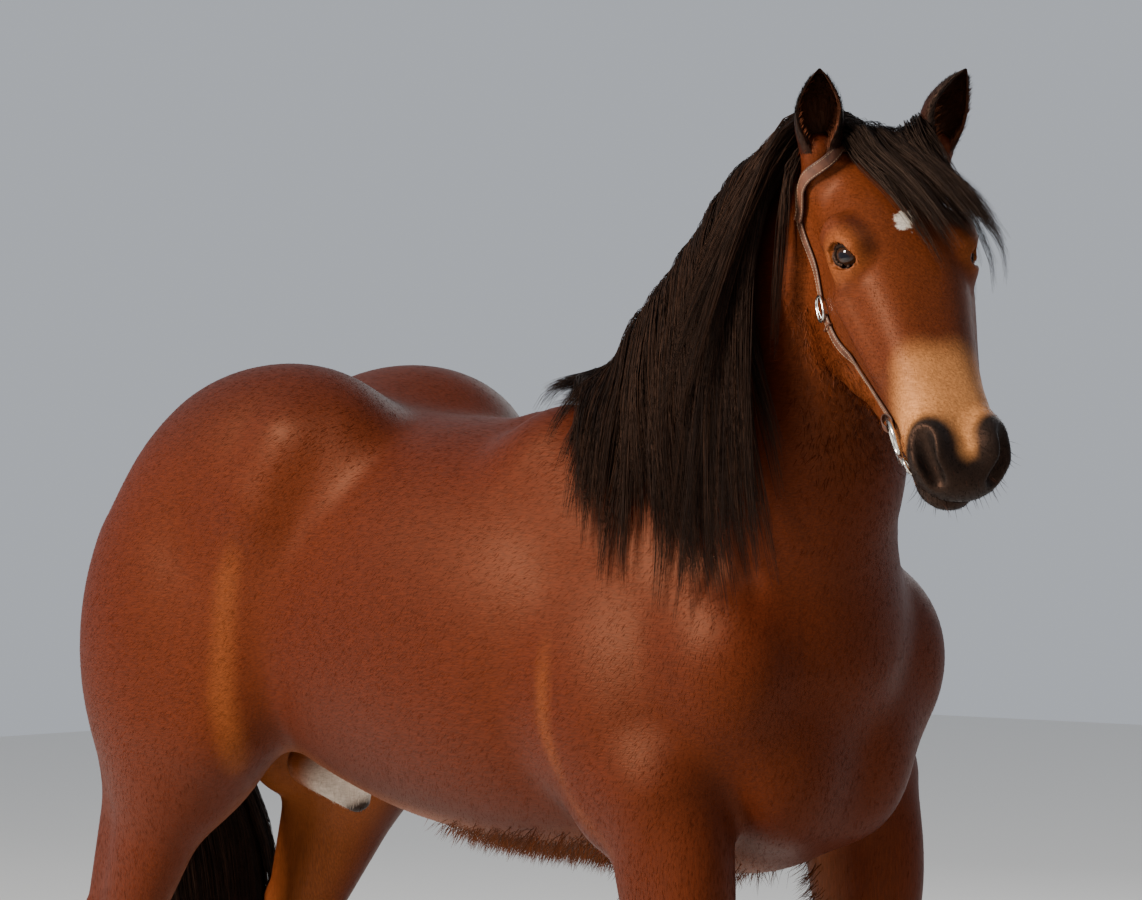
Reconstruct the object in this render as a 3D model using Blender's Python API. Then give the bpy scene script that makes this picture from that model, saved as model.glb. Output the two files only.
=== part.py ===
"""A life-size percheron horse in bay, standing square with its head turned to the right.

The flesh is a blend of muscles and bones: tapered rods and ellipsoids, each placed on the named landmarks
of the skeleton.  It is meshed once for each node, thinned to a triangle budget and parted by flat cuts
GAP wide.  Mane, forelock and tail are flat tapered locks that fall over that flesh and are fused into the
node that they grow from.
"""

import math

import bmesh
import bpy
import numpy as np
from mathutils import Matrix, Vector

# Driving dimensions, in metres: x forward, y to the horse's left, z up, feet at z = 0
WITHERS = 1.63
BACK = 1.60
CHEST_FLOOR = 0.872
POLL = np.array((0.987, -0.177, 2.002))
HEAD_LENGTH = 0.655
HEAD_PITCH = math.radians(43.5)
HEAD_YAW = math.radians(-31)
HEAD_TILT = math.radians(1.6)
HOOF_LENGTH = 0.17
HOOF_WIDTH = 0.168
EYE = 0.024
LID = 0.0042
EAR_LENGTH = 0.126
EAR_WIDTH = 0.075
TAIL_END = 0.47
GAP = 0.0003
# Points of a trimmed lock that lie closer than this are joined
SLIVER = 0.0002
MIDDLE = np.array((0.163, -0.041, 0.0))

LEFT, RIGHT = 1, -1
# A lock's steps from root to tip, as parts of its length
STRIDES = (0.05, 0.09, 0.16, 0.23, 0.25, 0.22)
# Where the cannon of each leg stands
FORELEG = {LEFT: (0.640, 0.190), RIGHT: (0.616, -0.190)}
HINDLEG = {LEFT: (-0.770, 0.205), RIGHT: (-0.812, -0.195)}
ACROSS = np.array((0.0, 1.0, 0.0))
DOWN = np.array((0.0, 0.0, -1.0))

# Colour, roughness and metallic of each material
TONES = {
    "coat": ((0.21, 0.062, 0.026), 0.55, 0.0),
    "points": ((0.022, 0.016, 0.014), 0.5, 0.0),
    "hair": ((0.014, 0.011, 0.010), 0.45, 0.0),
    "horn": ((0.050, 0.043, 0.038), 0.45, 0.0),
    "eye": ((0.018, 0.010, 0.006), 0.06, 0.0),
    "leather": ((0.085, 0.034, 0.018), 0.5, 0.0),
    "steel": ((0.62, 0.61, 0.58), 0.25, 1.0),
}


def unit(vector):
    return np.asarray(vector, float) / np.linalg.norm(vector)


def smooth(x, xs, ys):
    """Value at x of a smooth curve through the points (xs, ys)."""
    xs, ys = np.asarray(xs, float), np.asarray(ys, float)
    slopes = np.gradient(ys, xs)
    i = np.clip(np.searchsorted(xs, x) - 1, 0, len(xs) - 2)
    h = xs[i + 1] - xs[i]
    t = np.clip((x - xs[i]) / h, 0, 1)
    return (
        ys[i] * (1 + 2 * t) * (1 - t) ** 2
        + slopes[i] * h * t * (1 - t) ** 2
        + ys[i + 1] * t * t * (3 - 2 * t)
        + slopes[i + 1] * h * t * t * (t - 1)
    )


# Head frame: forward along the face, left across it, up out of the forehead
FACE = np.array((
    math.cos(HEAD_PITCH) * math.cos(HEAD_YAW),
    math.cos(HEAD_PITCH) * math.sin(HEAD_YAW),
    -math.sin(HEAD_PITCH),
))
LEVEL = np.array((-math.sin(HEAD_YAW), math.cos(HEAD_YAW), 0.0))
BROW = np.cross(FACE, LEVEL)
HEAD_AXES = np.array((
    FACE,
    LEVEL * math.cos(HEAD_TILT) + BROW * math.sin(HEAD_TILT),
    BROW * math.cos(HEAD_TILT) - LEVEL * math.sin(HEAD_TILT),
))


def head(forward, left, up):
    """The point that lies this far from the poll in the head's own frame, in parts of the head's length."""
    return POLL + np.array((forward, left, up)) * HEAD_LENGTH @ HEAD_AXES


class Form:
    """One muscle or bone: a distance function, its box, and how softly it blends in."""

    def __init__(self, distance, low, high, blend, carve):
        self.distance, self.blend, self.carve = distance, blend, carve
        self.low, self.high = np.array(low) - blend, np.array(high) + blend


def rod(a, b, ra, rb, blend=0.03, thin=1.0, across=ACROSS, carve=False):
    """A tapered rod with round ends, squeezed to thin times its width along across."""
    a, b, across = np.asarray(a, float), np.asarray(b, float), unit(across)
    ab = b - a
    scale = max(thin, 1.0) * max(ra, rb)

    def distance(p):
        t = np.clip((p - a) @ ab / (ab @ ab), 0, 1)
        q = p - a - t[:, None] * ab
        q += (q @ across * (1 / thin - 1))[:, None] * across
        return np.linalg.norm(q, axis=1) - (ra + (rb - ra) * t)

    return Form(distance, np.minimum(a, b) - scale, np.maximum(a, b) + scale, blend, carve)


def egg(centre, radii, blend=0.04, turn=0.0, axes=None, carve=False):
    """An ellipsoid on the given axes, or on the world's, pitched nose down by turn degrees about y."""
    centre, radii = np.asarray(centre, float), np.asarray(radii, float)
    if axes is None:
        c, s = math.cos(math.radians(turn)), math.sin(math.radians(turn))
        axes = np.array(((c, 0, -s), (0, 1, 0), (s, 0, c)))

    def distance(p):
        q = (p - centre) @ axes.T
        k = np.linalg.norm(q / radii, axis=1)
        return k * (k - 1) / np.maximum(np.linalg.norm(q / radii**2, axis=1), 1e-9)

    reach = radii.max()
    return Form(distance, centre - reach, centre + reach, blend, carve)


def sections(stations, blend, origin=(0, 0, 0), axes=np.eye(3), power=2.2):
    """A tube of sections along the first axis, each with its top, floor, half width and widest height."""
    x, top, floor, half, widest = (np.array(row) for row in zip(*stations))
    origin = np.asarray(origin, float)

    def distance(p):
        p = (p - origin) @ axes.T
        s = np.clip(p[:, 0], x[0], x[-1])
        middle = smooth(s, x, widest)
        rise = np.where(p[:, 2] > middle, smooth(s, x, top) - middle, middle - smooth(s, x, floor))
        side = smooth(s, x, half)
        k = ((np.abs(p[:, 1]) / side) ** power + (np.abs(p[:, 2] - middle) / rise) ** power) ** (1 / power)
        inside = (k - 1) * np.minimum(side, rise)
        past_end = np.abs(p[:, 0] - s)
        return np.where(past_end > 0, np.hypot(np.maximum(inside, 0), past_end), inside)

    corners = np.array([
        (f, l, u) for f in (x[0], x[-1]) for l in (-half.max(), half.max()) for u in (floor.min(), top.max())
    ])
    corners = origin + corners @ axes
    return Form(distance, corners.min(0), corners.max(0), blend, False)


def trunk_forms():
    stations = (
        (-0.78, 1.50, 1.12, 0.15, 1.35),
        (-0.62, 1.612, 1.07, 0.21, 1.35),
        (-0.42, 1.655, 0.985, 0.255, 1.30),
        (-0.20, BACK + 0.015, 0.918, 0.29, 1.24),
        (0.02, BACK, 0.885, 0.318, 1.21),
        (0.22, WITHERS - 0.05, CHEST_FLOOR, 0.315, 1.20),
        (0.42, WITHERS - 0.08, CHEST_FLOOR, 0.27, 1.20),
        (0.60, 1.48, 0.885, 0.225, 1.20),
        (0.72, 1.38, 0.96, 0.18, 1.20),
    )
    yield sections(stations, 0.02)
    yield rod((0.10, 0, 1.555), (0.34, -0.01, 1.60), 0.04, 0.055, 0.07)
    yield rod((-0.66, 0, 1.60), (-0.86, 0, 1.49), 0.06, 0.045, 0.06)
    yield egg((0.56, 0, 0.98), (0.20, 0.13, 0.105), 0.06)
    yield egg((0.66, 0, 1.24), (0.17, 0.17, 0.20), 0.08)
    yield rod((-0.42, 0, 0.985), (-0.20, 0, 0.93), 0.03, 0.02, 0.03)
    yield rod((-0.53, 0, 0.985), (-0.405, 0, 0.928), 0.044, 0.026, 0.03)


def quarter_forms(side):
    """Shoulder, chest, rump and thigh of one side."""
    y = side
    yield egg((-0.455, 0.145 * y, 1.500), (0.32, 0.165, 0.20), 0.045, turn=-7)
    yield rod((-0.30, 0.235 * y, 1.56), (-0.34, 0.25 * y, 1.46), 0.035, 0.04, 0.07)
    yield egg((-0.63, 0.195 * y, 1.22), (0.25, 0.155, 0.35), 0.06, turn=8)
    yield rod((-0.79, 0.135 * y, 1.38), (-0.77, 0.165 * y, 0.99), 0.10, 0.085, 0.05)
    yield rod((-0.40, 0.215 * y, 1.40), (-0.495, 0.235 * y, 1.08), 0.10, 0.085, 0.09, thin=0.8)
    yield rod((0.26, 0.125 * y, 1.50), (0.655, 0.178 * y, 1.21), 0.11, 0.122, 0.09, thin=0.75)
    yield egg((0.46, 0.225 * y, 1.12), (0.155, 0.09, 0.20), 0.06, turn=-25)
    yield egg((0.660, 0.160 * y, 1.18), (0.088, 0.088, 0.14), 0.08)
    yield egg((0.692, 0.080 * y, 1.07), (0.105, 0.102, 0.15), 0.05)


def neck_forms():
    """The neck as oval rods through its middle line, from the chest up to the poll."""
    line = (
        ((0.52, 0.0, 1.375), 0.365, 0.60),
        ((0.613, -0.03, 1.543), 0.295, 0.57),
        ((0.696, -0.07, 1.690), 0.231, 0.56),
        ((0.776, -0.115, 1.810), 0.186, 0.57),
        ((0.865, -0.148, 1.895), 0.15, 0.62),
    )
    for (a, ra, thin), (b, rb, _) in zip(line, line[1:]):
        bend = math.radians(-60) * (b[2] - 1.37)
        yield rod(a, b, ra, rb, 0.05, thin, (-math.sin(bend), math.cos(bend), 0))


def foreleg_forms(side):
    y = side
    x, foot = FORELEG[side]
    yield rod((x - 0.052, 0.222 * y, 1.00), (x + 0.003, foot, 0.56), 0.106, 0.058, 0.05, thin=0.82)
    yield egg((x + 0.016, 0.212 * y, 0.86), (0.056, 0.056, 0.14), 0.04)
    yield egg((x - 0.072, 0.210 * y, 0.87), (0.052, 0.056, 0.13), 0.04)
    yield egg((x - 0.150, 0.225 * y, 0.97), (0.060, 0.048, 0.065), 0.05)
    yield egg((x + 0.008, foot, 0.505), (0.064, 0.062, 0.082), 0.03)
    yield egg((x - 0.038, foot, 0.51), (0.038, 0.038, 0.052), 0.02)
    yield rod((x + 0.002, foot, 0.46), (x, foot, 0.28), 0.047, 0.041, 0.02)
    yield rod((x - 0.040, foot, 0.46), (x - 0.034, foot, 0.27), 0.027, 0.025, 0.015)
    yield from foot_forms(x, foot)


def hindleg_forms(side):
    y = side
    x, foot = HINDLEG[side]
    yield rod((x + 0.205, 0.222 * y, 1.06), (x - 0.010, foot, 0.68), 0.122, 0.060, 0.06, thin=0.74)
    yield rod((x + 0.085, 0.20 * y, 1.03), (x - 0.086, foot, 0.69), 0.100, 0.034, 0.04, thin=0.62)
    yield rod((x - 0.033, foot, 0.655), (x - 0.023, foot, 0.54), 0.064, 0.058, 0.03, thin=0.84)
    yield rod((x - 0.090, foot, 0.705), (x - 0.065, foot, 0.57), 0.030, 0.036, 0.02, thin=0.85)
    yield rod((x - 0.020, foot, 0.54), (x, foot, 0.30), 0.051, 0.043, 0.02, thin=0.87)
    yield rod((x - 0.062, foot, 0.56), (x - 0.037, foot, 0.28), 0.028, 0.025, 0.015)
    yield from foot_forms(x, foot)


def foot_forms(x, y):
    """Fetlock, ergot and pastern below a cannon that stands at x."""
    yield egg((x, y, 0.25), (0.057, 0.052, 0.055), 0.025)
    yield egg((x - 0.036, y, 0.243), (0.034, 0.040, 0.038), 0.02)
    yield rod((x + 0.01, y, 0.225), (x + 0.055, y, 0.115), 0.046, 0.052, 0.025)
    yield egg((x + 0.060, y, 0.094), (0.067, 0.064, 0.030), 0.015)


def tail_forms():
    yield rod((-0.87, 0, 1.50), (-0.945, 0, 1.41), 0.042, 0.036, 0.03)
    yield rod((-0.945, 0, 1.41), (-0.962, 0, 1.18), 0.036, 0.026, 0.02)
    yield rod((-0.962, 0, 1.18), (-0.950, 0, 0.98), 0.026, 0.014, 0.02)


def eye_place(side):
    """Middle of the eyeball, the way it looks, and the way from its outer to its inner corner."""
    look = unit(HEAD_AXES.T @ (0.46, 0.82 * side, 0.30))
    inner = HEAD_AXES.T @ (0.80, -0.45 * side, 0.30)
    inner = unit(inner - look * (inner @ look))
    return head(0.325, 0.135 * side, -0.069), look, inner


def lids(side, reach, count=7):
    """Points round the opening between the lids: over the upper lid, then back under the eye."""
    middle, look, inner = eye_place(side)
    above = unit(HEAD_AXES[2] - look * (HEAD_AXES[2] @ look))
    above = unit(above - inner * (above @ inner))
    for rise, turn in ((0.92, 1), (-0.78, -1)):
        for i in range(count):
            t = turn * (2 * i / count - 1)
            way = look * math.sqrt(0.16 + 0.70 * (1 - abs(t))) + inner * 0.98 * t + above * rise * (1 - t * t)
            yield middle + unit(way) * reach


def head_forms():
    """The head, in parts of its length."""

    def lump(forward, left, up, radii, blend, carve=False):
        return egg(head(forward, left, up), HEAD_LENGTH * np.array(radii), blend, axes=HEAD_AXES, carve=carve)

    def bone(a, b, ra, rb, blend, thin=1.0, carve=False):
        ra, rb = ra * HEAD_LENGTH, rb * HEAD_LENGTH
        return rod(head(*a), head(*b), ra, rb, blend, thin, HEAD_AXES[1], carve)

    skull = np.array((
        (0.02, -0.030, -0.17, 0.090, -0.09),
        (0.09, -0.005, -0.26, 0.112, -0.09),
        (0.19, 0.016, -0.32, 0.134, -0.08),
        (0.31, 0.018, -0.34, 0.148, -0.09),
        (0.44, -0.006, -0.325, 0.136, -0.12),
        (0.58, -0.034, -0.290, 0.116, -0.135),
        (0.72, -0.058, -0.255, 0.100, -0.140),
        (0.84, -0.078, -0.240, 0.100, -0.145),
        (0.92, -0.110, -0.235, 0.090, -0.160),
    ))
    yield sections(skull * HEAD_LENGTH, 0.05, POLL, HEAD_AXES, 2.5)
    yield lump(0.925, 0, -0.170, (0.066, 0.094, 0.064), 0.02)
    yield lump(0.865, 0, -0.262, (0.075, 0.066, 0.038), 0.015)
    for y in (LEFT, RIGHT):
        yield bone((0.04, 0.115 * y, -0.08), (0.015, 0.140 * y, -0.01), 0.056, 0.044, 0.03)
        yield lump(0.245, 0.090 * y, -0.285, (0.185, 0.058, 0.155), 0.02)
        yield bone((0.22, 0.060 * y, -0.39), (0.42, 0.050 * y, -0.350), 0.048, 0.038, 0.03)
        yield bone((0.42, 0.050 * y, -0.350), (0.80, 0.026 * y, -0.248), 0.038, 0.034, 0.03)
        yield bone((0.39, 0.142 * y, -0.140), (0.60, 0.106 * y, -0.160), 0.022, 0.012, 0.03)
        yield bone((0.14, 0.120 * y, -0.105), (0.24, 0.148 * y, -0.085), 0.022, 0.024, 0.03)
        yield lump(0.320, 0.128 * y, -0.066, (0.084, 0.046, 0.058), 0.025)
        yield bone((0.255, 0.150 * y, -0.030), (0.345, 0.138 * y, -0.014), 0.020, 0.018, 0.02)
        yield lump(0.893, 0.066 * y, -0.120, (0.068, 0.044, 0.056), 0.03)
        socket, look, inner = eye_place(y)
        axes = np.array((inner, look, np.cross(inner, look)))
        yield egg(socket + look * 0.030, (0.030, 0.021, 0.024), 0.004, axes=axes, carve=True)
        yield bone((0.905, 0.104 * y, -0.080), (0.966, 0.066 * y, -0.150), 0.027, 0.016, 0.012, carve=True)
        yield bone((0.825, 0.115 * y, -0.222), (1.00, 0.045 * y, -0.232), 0.008, 0.006, 0.010, carve=True)


def flesh_forms():
    yield from trunk_forms()
    for side in (LEFT, RIGHT):
        yield from quarter_forms(side)
    yield from neck_forms()
    for side in (LEFT, RIGHT):
        yield from foreleg_forms(side)
        yield from hindleg_forms(side)
    yield from tail_forms()
    yield from head_forms()


FLESH = list(flesh_forms())


def depth(points, low=None, high=None):
    """Distance of each point outside the flesh, negative inside it.  Forms outside the box low..high are left out."""
    points = np.asarray(points, float).reshape(-1, 3)
    low = points.min(0) if low is None else low
    high = points.max(0) if high is None else high
    found = np.full(len(points), 1.0)
    for form in FLESH:
        if (form.high < low).any() or (form.low > high).any():
            continue
        d, k = form.distance(points), form.blend
        if form.carve:
            h = np.clip(0.5 - 0.5 * (found + d) / k, 0, 1)
            found = found * (1 - h) - d * h + k * h * (1 - h)
        else:
            h = np.clip(0.5 + 0.5 * (d - found) / k, 0, 1)
            found = d + (found - d) * h - k * h * (1 - h)
    return found


def outward(points, step=0.002):
    """Unit direction out of the flesh at each point."""
    points = np.asarray(points, float).reshape(-1, 3)
    slope = np.stack([depth(points + e) - depth(points - e) for e in np.eye(3) * step], axis=1)
    return slope / np.maximum(np.linalg.norm(slope, axis=1, keepdims=True), 1e-9)


def flesh_grid(low, high, step, block=8):
    """Depth on a grid of that step.  Only blocks that the surface may cross are worked out in full."""
    low, high = np.asarray(low, float), np.asarray(high, float)
    blocks = np.ceil((high - low) / (step * block)).astype(int)
    grid = np.ones(blocks * block + 1, np.float32)
    reach = step * block * math.sqrt(3) / 2 + 0.03
    for bx in range(blocks[0]):
        corner = low + np.array((bx * block * step, 0, 0))
        by, bz = (a.ravel() for a in np.meshgrid(*(np.arange(n) for n in blocks[1:]), indexing="ij"))
        middles = corner + (np.stack((np.zeros_like(by), by, bz), 1) + 0.5) * block * step
        rough = depth(middles, middles.min(0) - reach, middles.max(0) + reach)
        for j, k, d in zip(by, bz, rough):
            start = np.array((bx, j, k)) * block
            cells = tuple(slice(s, s + block + 1) for s in start)
            if abs(d) > reach:
                grid[cells] = np.where(grid[cells] == 1, math.copysign(1, d), grid[cells])
                continue
            axes = [low[a] + step * np.arange(start[a], start[a] + block + 1) for a in range(3)]
            points = np.stack(np.meshgrid(*axes, indexing="ij"), -1).reshape(-1, 3)
            grid[cells] = depth(points).reshape((block + 1,) * 3)
    return grid


def skin(low, high, step):
    """Points and quads of the flesh in a box, closed at its walls: a point in each cell that the surface crosses."""
    grid = flesh_grid(low, high, step)
    for axis in range(3):
        for end in (0, -1):
            border = [slice(None)] * 3
            border[axis] = end
            grid[tuple(border)] = step
    inside = grid < 0
    shape = np.array(grid.shape) - 1
    total = np.zeros((shape.prod(), 3))
    count = np.zeros(shape.prod())
    quads = []
    for axis in range(3):
        u, v = (axis + 1) % 3, (axis + 2) % 3
        ahead = [slice(None)] * 3
        behind = [slice(None)] * 3
        ahead[axis], behind[axis] = slice(1, None), slice(None, -1)
        at = np.argwhere(inside[tuple(ahead)] != inside[tuple(behind)])
        at = at[(at[:, u] > 0) & (at[:, v] > 0) & (at[:, u] < shape[u]) & (at[:, v] < shape[v])]
        first = grid[tuple(at.T)].astype(float)
        nxt = at.copy()
        nxt[:, axis] += 1
        second = grid[tuple(nxt.T)].astype(float)
        crossing = at.astype(float)
        crossing[:, axis] += first / (first - second)
        ring = []
        for du, dv in ((-1, -1), (0, -1), (0, 0), (-1, 0)):
            cell = at.copy()
            cell[:, u] += du
            cell[:, v] += dv
            flat = np.ravel_multi_index(cell.T, shape)
            ring.append(flat)
            count += np.bincount(flat, minlength=len(count))
            for a in range(3):
                total[:, a] += np.bincount(flat, weights=crossing[:, a], minlength=len(count))
        ring = np.stack(ring, 1)
        ring[first > 0] = ring[first > 0][:, ::-1]
        quads.append(ring)
    quads = np.concatenate(quads)
    used = np.flatnonzero(count)
    number = np.full(len(count), -1)
    number[used] = np.arange(len(used))
    return np.asarray(low) + step * total[used] / count[used, None], number[quads]


def land(points, lift=0.0):
    """Moves the points onto the flesh, or to that height over it."""
    points = np.array(points, float).reshape(-1, 3)
    for _ in range(6):
        points -= outward(points) * np.clip(depth(points) - lift, -0.03, 0.03)[:, None]
    return points


def drape(starts, ways, lengths, lifts, strides=STRIDES, sway=(0, 0, 0), stiff=0.5):
    """Paths of locks that set off along ways, turn down under their weight and rest on the flesh at lifts."""
    point = np.array(starts, float)
    heading = np.array(ways, float)
    paths = [point]
    for stride in strides:
        heading = heading * stiff + DOWN * (1 - stiff) + np.asarray(sway)
        normal = outward(point)
        into = (heading * normal).sum(1, keepdims=True)
        heading = heading - normal * np.where((into > 0) & (depth(point) < 0.04)[:, None], into, 0)
        heading /= np.linalg.norm(heading, axis=1, keepdims=True)
        ahead = point + heading * np.asarray(lengths)[:, None] * stride
        for _ in range(2):
            short = np.maximum(np.asarray(lifts) - depth(ahead), 0)
            ahead = ahead + outward(ahead) * np.minimum(short, 0.05)[:, None]
        heading = ahead - point
        heading /= np.linalg.norm(heading, axis=1, keepdims=True)
        point = ahead
        paths.append(point)
    return np.stack(paths, axis=1)


def lock(path, faces_out, width, thick, profile):
    """A flat lock along the path, widest where profile is 1, closed by a flat root and a pointed tip."""
    tangent = np.gradient(path, axis=0)
    side = np.cross(tangent, faces_out)
    side /= np.linalg.norm(side, axis=1, keepdims=True)
    up = np.cross(side, tangent)
    up /= np.linalg.norm(up, axis=1, keepdims=True)
    across = side[:-1] * (width / 2 * np.asarray(profile))[:, None]
    over = up[:-1] * (thick / 2 * np.asarray(profile))[:, None]
    middle = path[:-1]
    rings = np.stack((middle + across, middle + over, middle - across, middle - over), axis=1)
    points = [*rings.reshape(-1, 3), path[-1]]
    tip = len(points) - 1
    faces = [(3, 2, 1, 0)]
    for i in range(len(rings) - 1):
        faces += [(4 * i + j, 4 * i + (j + 1) % 4, 4 * i + 4 + (j + 1) % 4, 4 * i + 4 + j) for j in range(4)]
    faces += [(tip - 4 + j, tip - 4 + (j + 1) % 4, tip) for j in range(4)]
    return points, faces


def closed_mesh(name, points, faces):
    """Mesh data of a closed shape, with its faces turned outwards."""
    data = bpy.data.meshes.new(name)
    data.from_pydata([tuple(p) for p in points], [], [tuple(int(i) for i in f) for f in faces])
    mesh = bmesh.new()
    mesh.from_mesh(data)
    bmesh.ops.recalc_face_normals(mesh, faces=mesh.faces)
    mesh.to_mesh(data)
    mesh.free()
    return data


def new_mesh(name, points, faces, tone):
    """A part with its own material, made from points and faces."""
    mesh = closed_mesh(name, points, faces)
    obj = bpy.data.objects.new(name, mesh)
    parts.objects.link(obj)
    colour, rough, metal = TONES[tone]
    slot = bpy.data.materials.new(name)
    slot.use_nodes = True
    shader = slot.node_tree.nodes["Principled BSDF"]
    shader.inputs["Base Color"].default_value = (*colour, 1)
    shader.inputs["Roughness"].default_value = rough
    shader.inputs["Metallic"].default_value = metal
    mesh.materials.append(slot)
    return obj


def apply(obj, kind, **settings):
    """Adds one modifier, keeps its result and takes the modifier off again."""
    modifier = obj.modifiers.new(kind, kind)
    for key, value in settings.items():
        setattr(modifier, key, value)
    graph = bpy.context.evaluated_depsgraph_get()
    made = bpy.data.meshes.new_from_object(obj.evaluated_get(graph))
    obj.modifiers.clear()
    old = obj.data
    obj.data = made
    bpy.data.meshes.remove(old)


def joined_faces(faces, edges_of):
    """The faces in groups that hang together by the edges that edges_of gives."""
    left, groups = set(faces), []
    while left:
        stack = [left.pop()]
        group = []
        while stack:
            face = stack.pop()
            group.append(face)
            for edge in edges_of(face):
                for other in edge.link_faces:
                    if other in left:
                        left.remove(other)
                        stack.append(other)
        groups.append(group)
    return groups


def keep_largest(obj, weld=SLIVER):
    """Parts the surface where it touches itself, and leaves only the biggest closed surface."""
    mesh = bmesh.new()
    mesh.from_mesh(obj.data)
    bmesh.ops.remove_doubles(mesh, verts=mesh.verts, dist=weld)
    bmesh.ops.dissolve_degenerate(mesh, edges=mesh.edges, dist=weld / 2)
    bmesh.ops.triangulate(mesh, faces=mesh.faces)
    pinched = [edge for edge in mesh.edges if len(edge.link_faces) > 2]
    while pinched:
        bmesh.ops.collapse(mesh, edges=pinched)
        pinched = [edge for edge in mesh.edges if len(edge.link_faces) > 2]
    for vert in [v for v in mesh.verts if not v.is_manifold]:
        fans = joined_faces(vert.link_faces, lambda face: [e for e in face.edges if vert in e.verts])
        for fan in fans:
            middle = sum((face.calc_center_median() for face in fan), Vector()) / len(fan)
            copy = mesh.verts.new(vert.co + (middle - vert.co).normalized() * 2e-4)
            for face in fan:
                mesh.faces.new([copy if v == vert else v for v in face.verts])
        bmesh.ops.delete(mesh, geom=[vert], context="VERTS")
    bmesh.ops.holes_fill(mesh, edges=[edge for edge in mesh.edges if len(edge.link_faces) == 1])
    bmesh.ops.triangulate(mesh, faces=mesh.faces)
    bmesh.ops.recalc_face_normals(mesh, faces=mesh.faces)
    groups = joined_faces(mesh.faces, lambda face: face.edges)
    groups.sort(key=len)
    bmesh.ops.delete(mesh, geom=[face for group in groups[:-1] for face in group], context="FACES")
    mesh.to_mesh(obj.data)
    mesh.free()


def triangles(obj):
    obj.data.calc_loop_triangles()
    return len(obj.data.loop_triangles)


def thin_out(obj, target):
    """Thins the mesh to about this many triangles."""
    apply(obj, "TRIANGULATE")
    apply(obj, "DECIMATE", ratio=min(1.0, target / triangles(obj)), use_collapse_triangulate=True)


def wedge(name, planes, grow=0.0, reach=4.0):
    """A closed block bounded by planes, each a point and the way out of the block, moved out by grow."""
    mesh = bmesh.new()
    bmesh.ops.create_cube(mesh, size=reach)
    centre = Vector((0, 0, 1))
    bmesh.ops.translate(mesh, verts=mesh.verts, vec=centre)
    for point, out in planes:
        out = Vector(unit(out))
        cut = bmesh.ops.bisect_plane(
            mesh, geom=mesh.verts[:] + mesh.edges[:] + mesh.faces[:], dist=1e-6,
            plane_co=Vector(point) + out * grow, plane_no=out, clear_outer=True,
        )
        rim = [e for e in cut["geom_cut"] if isinstance(e, bmesh.types.BMEdge)]
        bmesh.ops.contextual_create(mesh, geom=rim)
    bmesh.ops.recalc_face_normals(mesh, faces=mesh.faces)
    data = bpy.data.meshes.new(name)
    mesh.to_mesh(data)
    mesh.free()
    obj = bpy.data.objects.new(name, data)
    cutters.objects.link(obj)
    obj.hide_render = True
    obj.display_type = "WIRE"
    return obj


def drop(obj):
    data = obj.data
    bpy.data.objects.remove(obj)
    bpy.data.meshes.remove(data)


def boolean(obj, other, operation, solver="MANIFOLD"):
    apply(obj, "BOOLEAN", object=other, operation=operation, solver=solver)


def fuse(obj, shapes):
    """Joins closed shapes, each points and faces, into the object by one union."""
    group = bpy.data.collections.new("locks")
    bpy.context.scene.collection.children.link(group)
    for points, faces in shapes:
        group.objects.link(bpy.data.objects.new("lock", closed_mesh("lock", points, faces)))
    bpy.context.view_layer.update()
    apply(obj, "BOOLEAN", operand_type="COLLECTION", collection=group, operation="UNION", solver="MANIFOLD")
    for shape in list(group.objects):
        drop(shape)
    bpy.data.collections.remove(group)


def grown(obj, by):
    """A cutter in the shape of the object, a little larger all round."""
    data = obj.data.copy()
    cutter = bpy.data.objects.new(obj.name + "_cutter", data)
    cutters.objects.link(cutter)
    cutter.hide_render = True
    cutter.display_type = "WIRE"
    normals = [v.normal.copy() for v in data.vertices]
    for vertex, normal in zip(data.vertices, normals):
        vertex.co += normal * by
    return cutter


def trim(obj, near):
    """Cuts away what comes closer than a gap to its neighbours: first with room to spare, then what is left."""
    for by, weld in ((4 * GAP, SLIVER), (2 * GAP, SLIVER), (0.3 * GAP, SLIVER / 20)):
        for other in near:
            cutter = grown(other, by)
            boolean(obj, cutter, "DIFFERENCE")
            drop(cutter)
        keep_largest(obj, weld)


# The flesh, meshed in boxes and parted


def flesh(name, low, high, step, tone, inside=(), outside=(), target=1000):
    """The part of the flesh in a box that lies within some blocks and clear of others."""
    points, quads = skin(low, high, step)
    obj = new_mesh(name, points, quads, tone)
    thin_out(obj, target)
    for block in inside:
        boolean(obj, block, "INTERSECT")
    for block in outside:
        boolean(obj, block, "DIFFERENCE")
    keep_largest(obj, SLIVER / 8)
    return obj


def head_block(grow):
    planes = (
        (head(0.045, 0, -0.30), HEAD_AXES.T @ (-0.943, 0, -0.33)),
        (head(0.045, 0, -0.30), HEAD_AXES.T @ (-0.752, 0, -0.658)),
        (head(0.30, 0, -0.50), -HEAD_AXES[2]),
    )
    return wedge("head_block", planes, grow)


def neck_block(grow):
    return wedge("neck_block", [((0.50, 0, 1.36), (-0.62, 0, -0.79))], grow)


def tail_block(grow):
    planes = (
        ((-0.902, 0, 1.45), (1, 0, -0.12)),
        ((-0.90, 0.06, 1.45), (0, 1, 0)),
        ((-0.90, -0.06, 1.45), (0, -1, 0)),
    )
    return wedge("tail_block", planes, grow)


def foreleg_block(side, grow):
    planes = (
        ((0.50, 0.10 * side, 0.86), (0, -0.571 * side, 0.821)),
        ((0.50, 0.02 * side, 0.86), (0, -side, 0)),
        ((0.30, 0, 0.90), (-1, 0, 0)),
    )
    return wedge("foreleg_block", planes, grow)


def hindleg_block(side, grow):
    planes = (
        ((-0.40, 0, 0.93), (0.25, 0, 1)),
        ((-0.40, 0.02 * side, 0.86), (0, -side, 0)),
        ((-0.10, 0, 0.90), (1, 0, 0)),
    )
    return wedge("hindleg_block", planes, grow)


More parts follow.
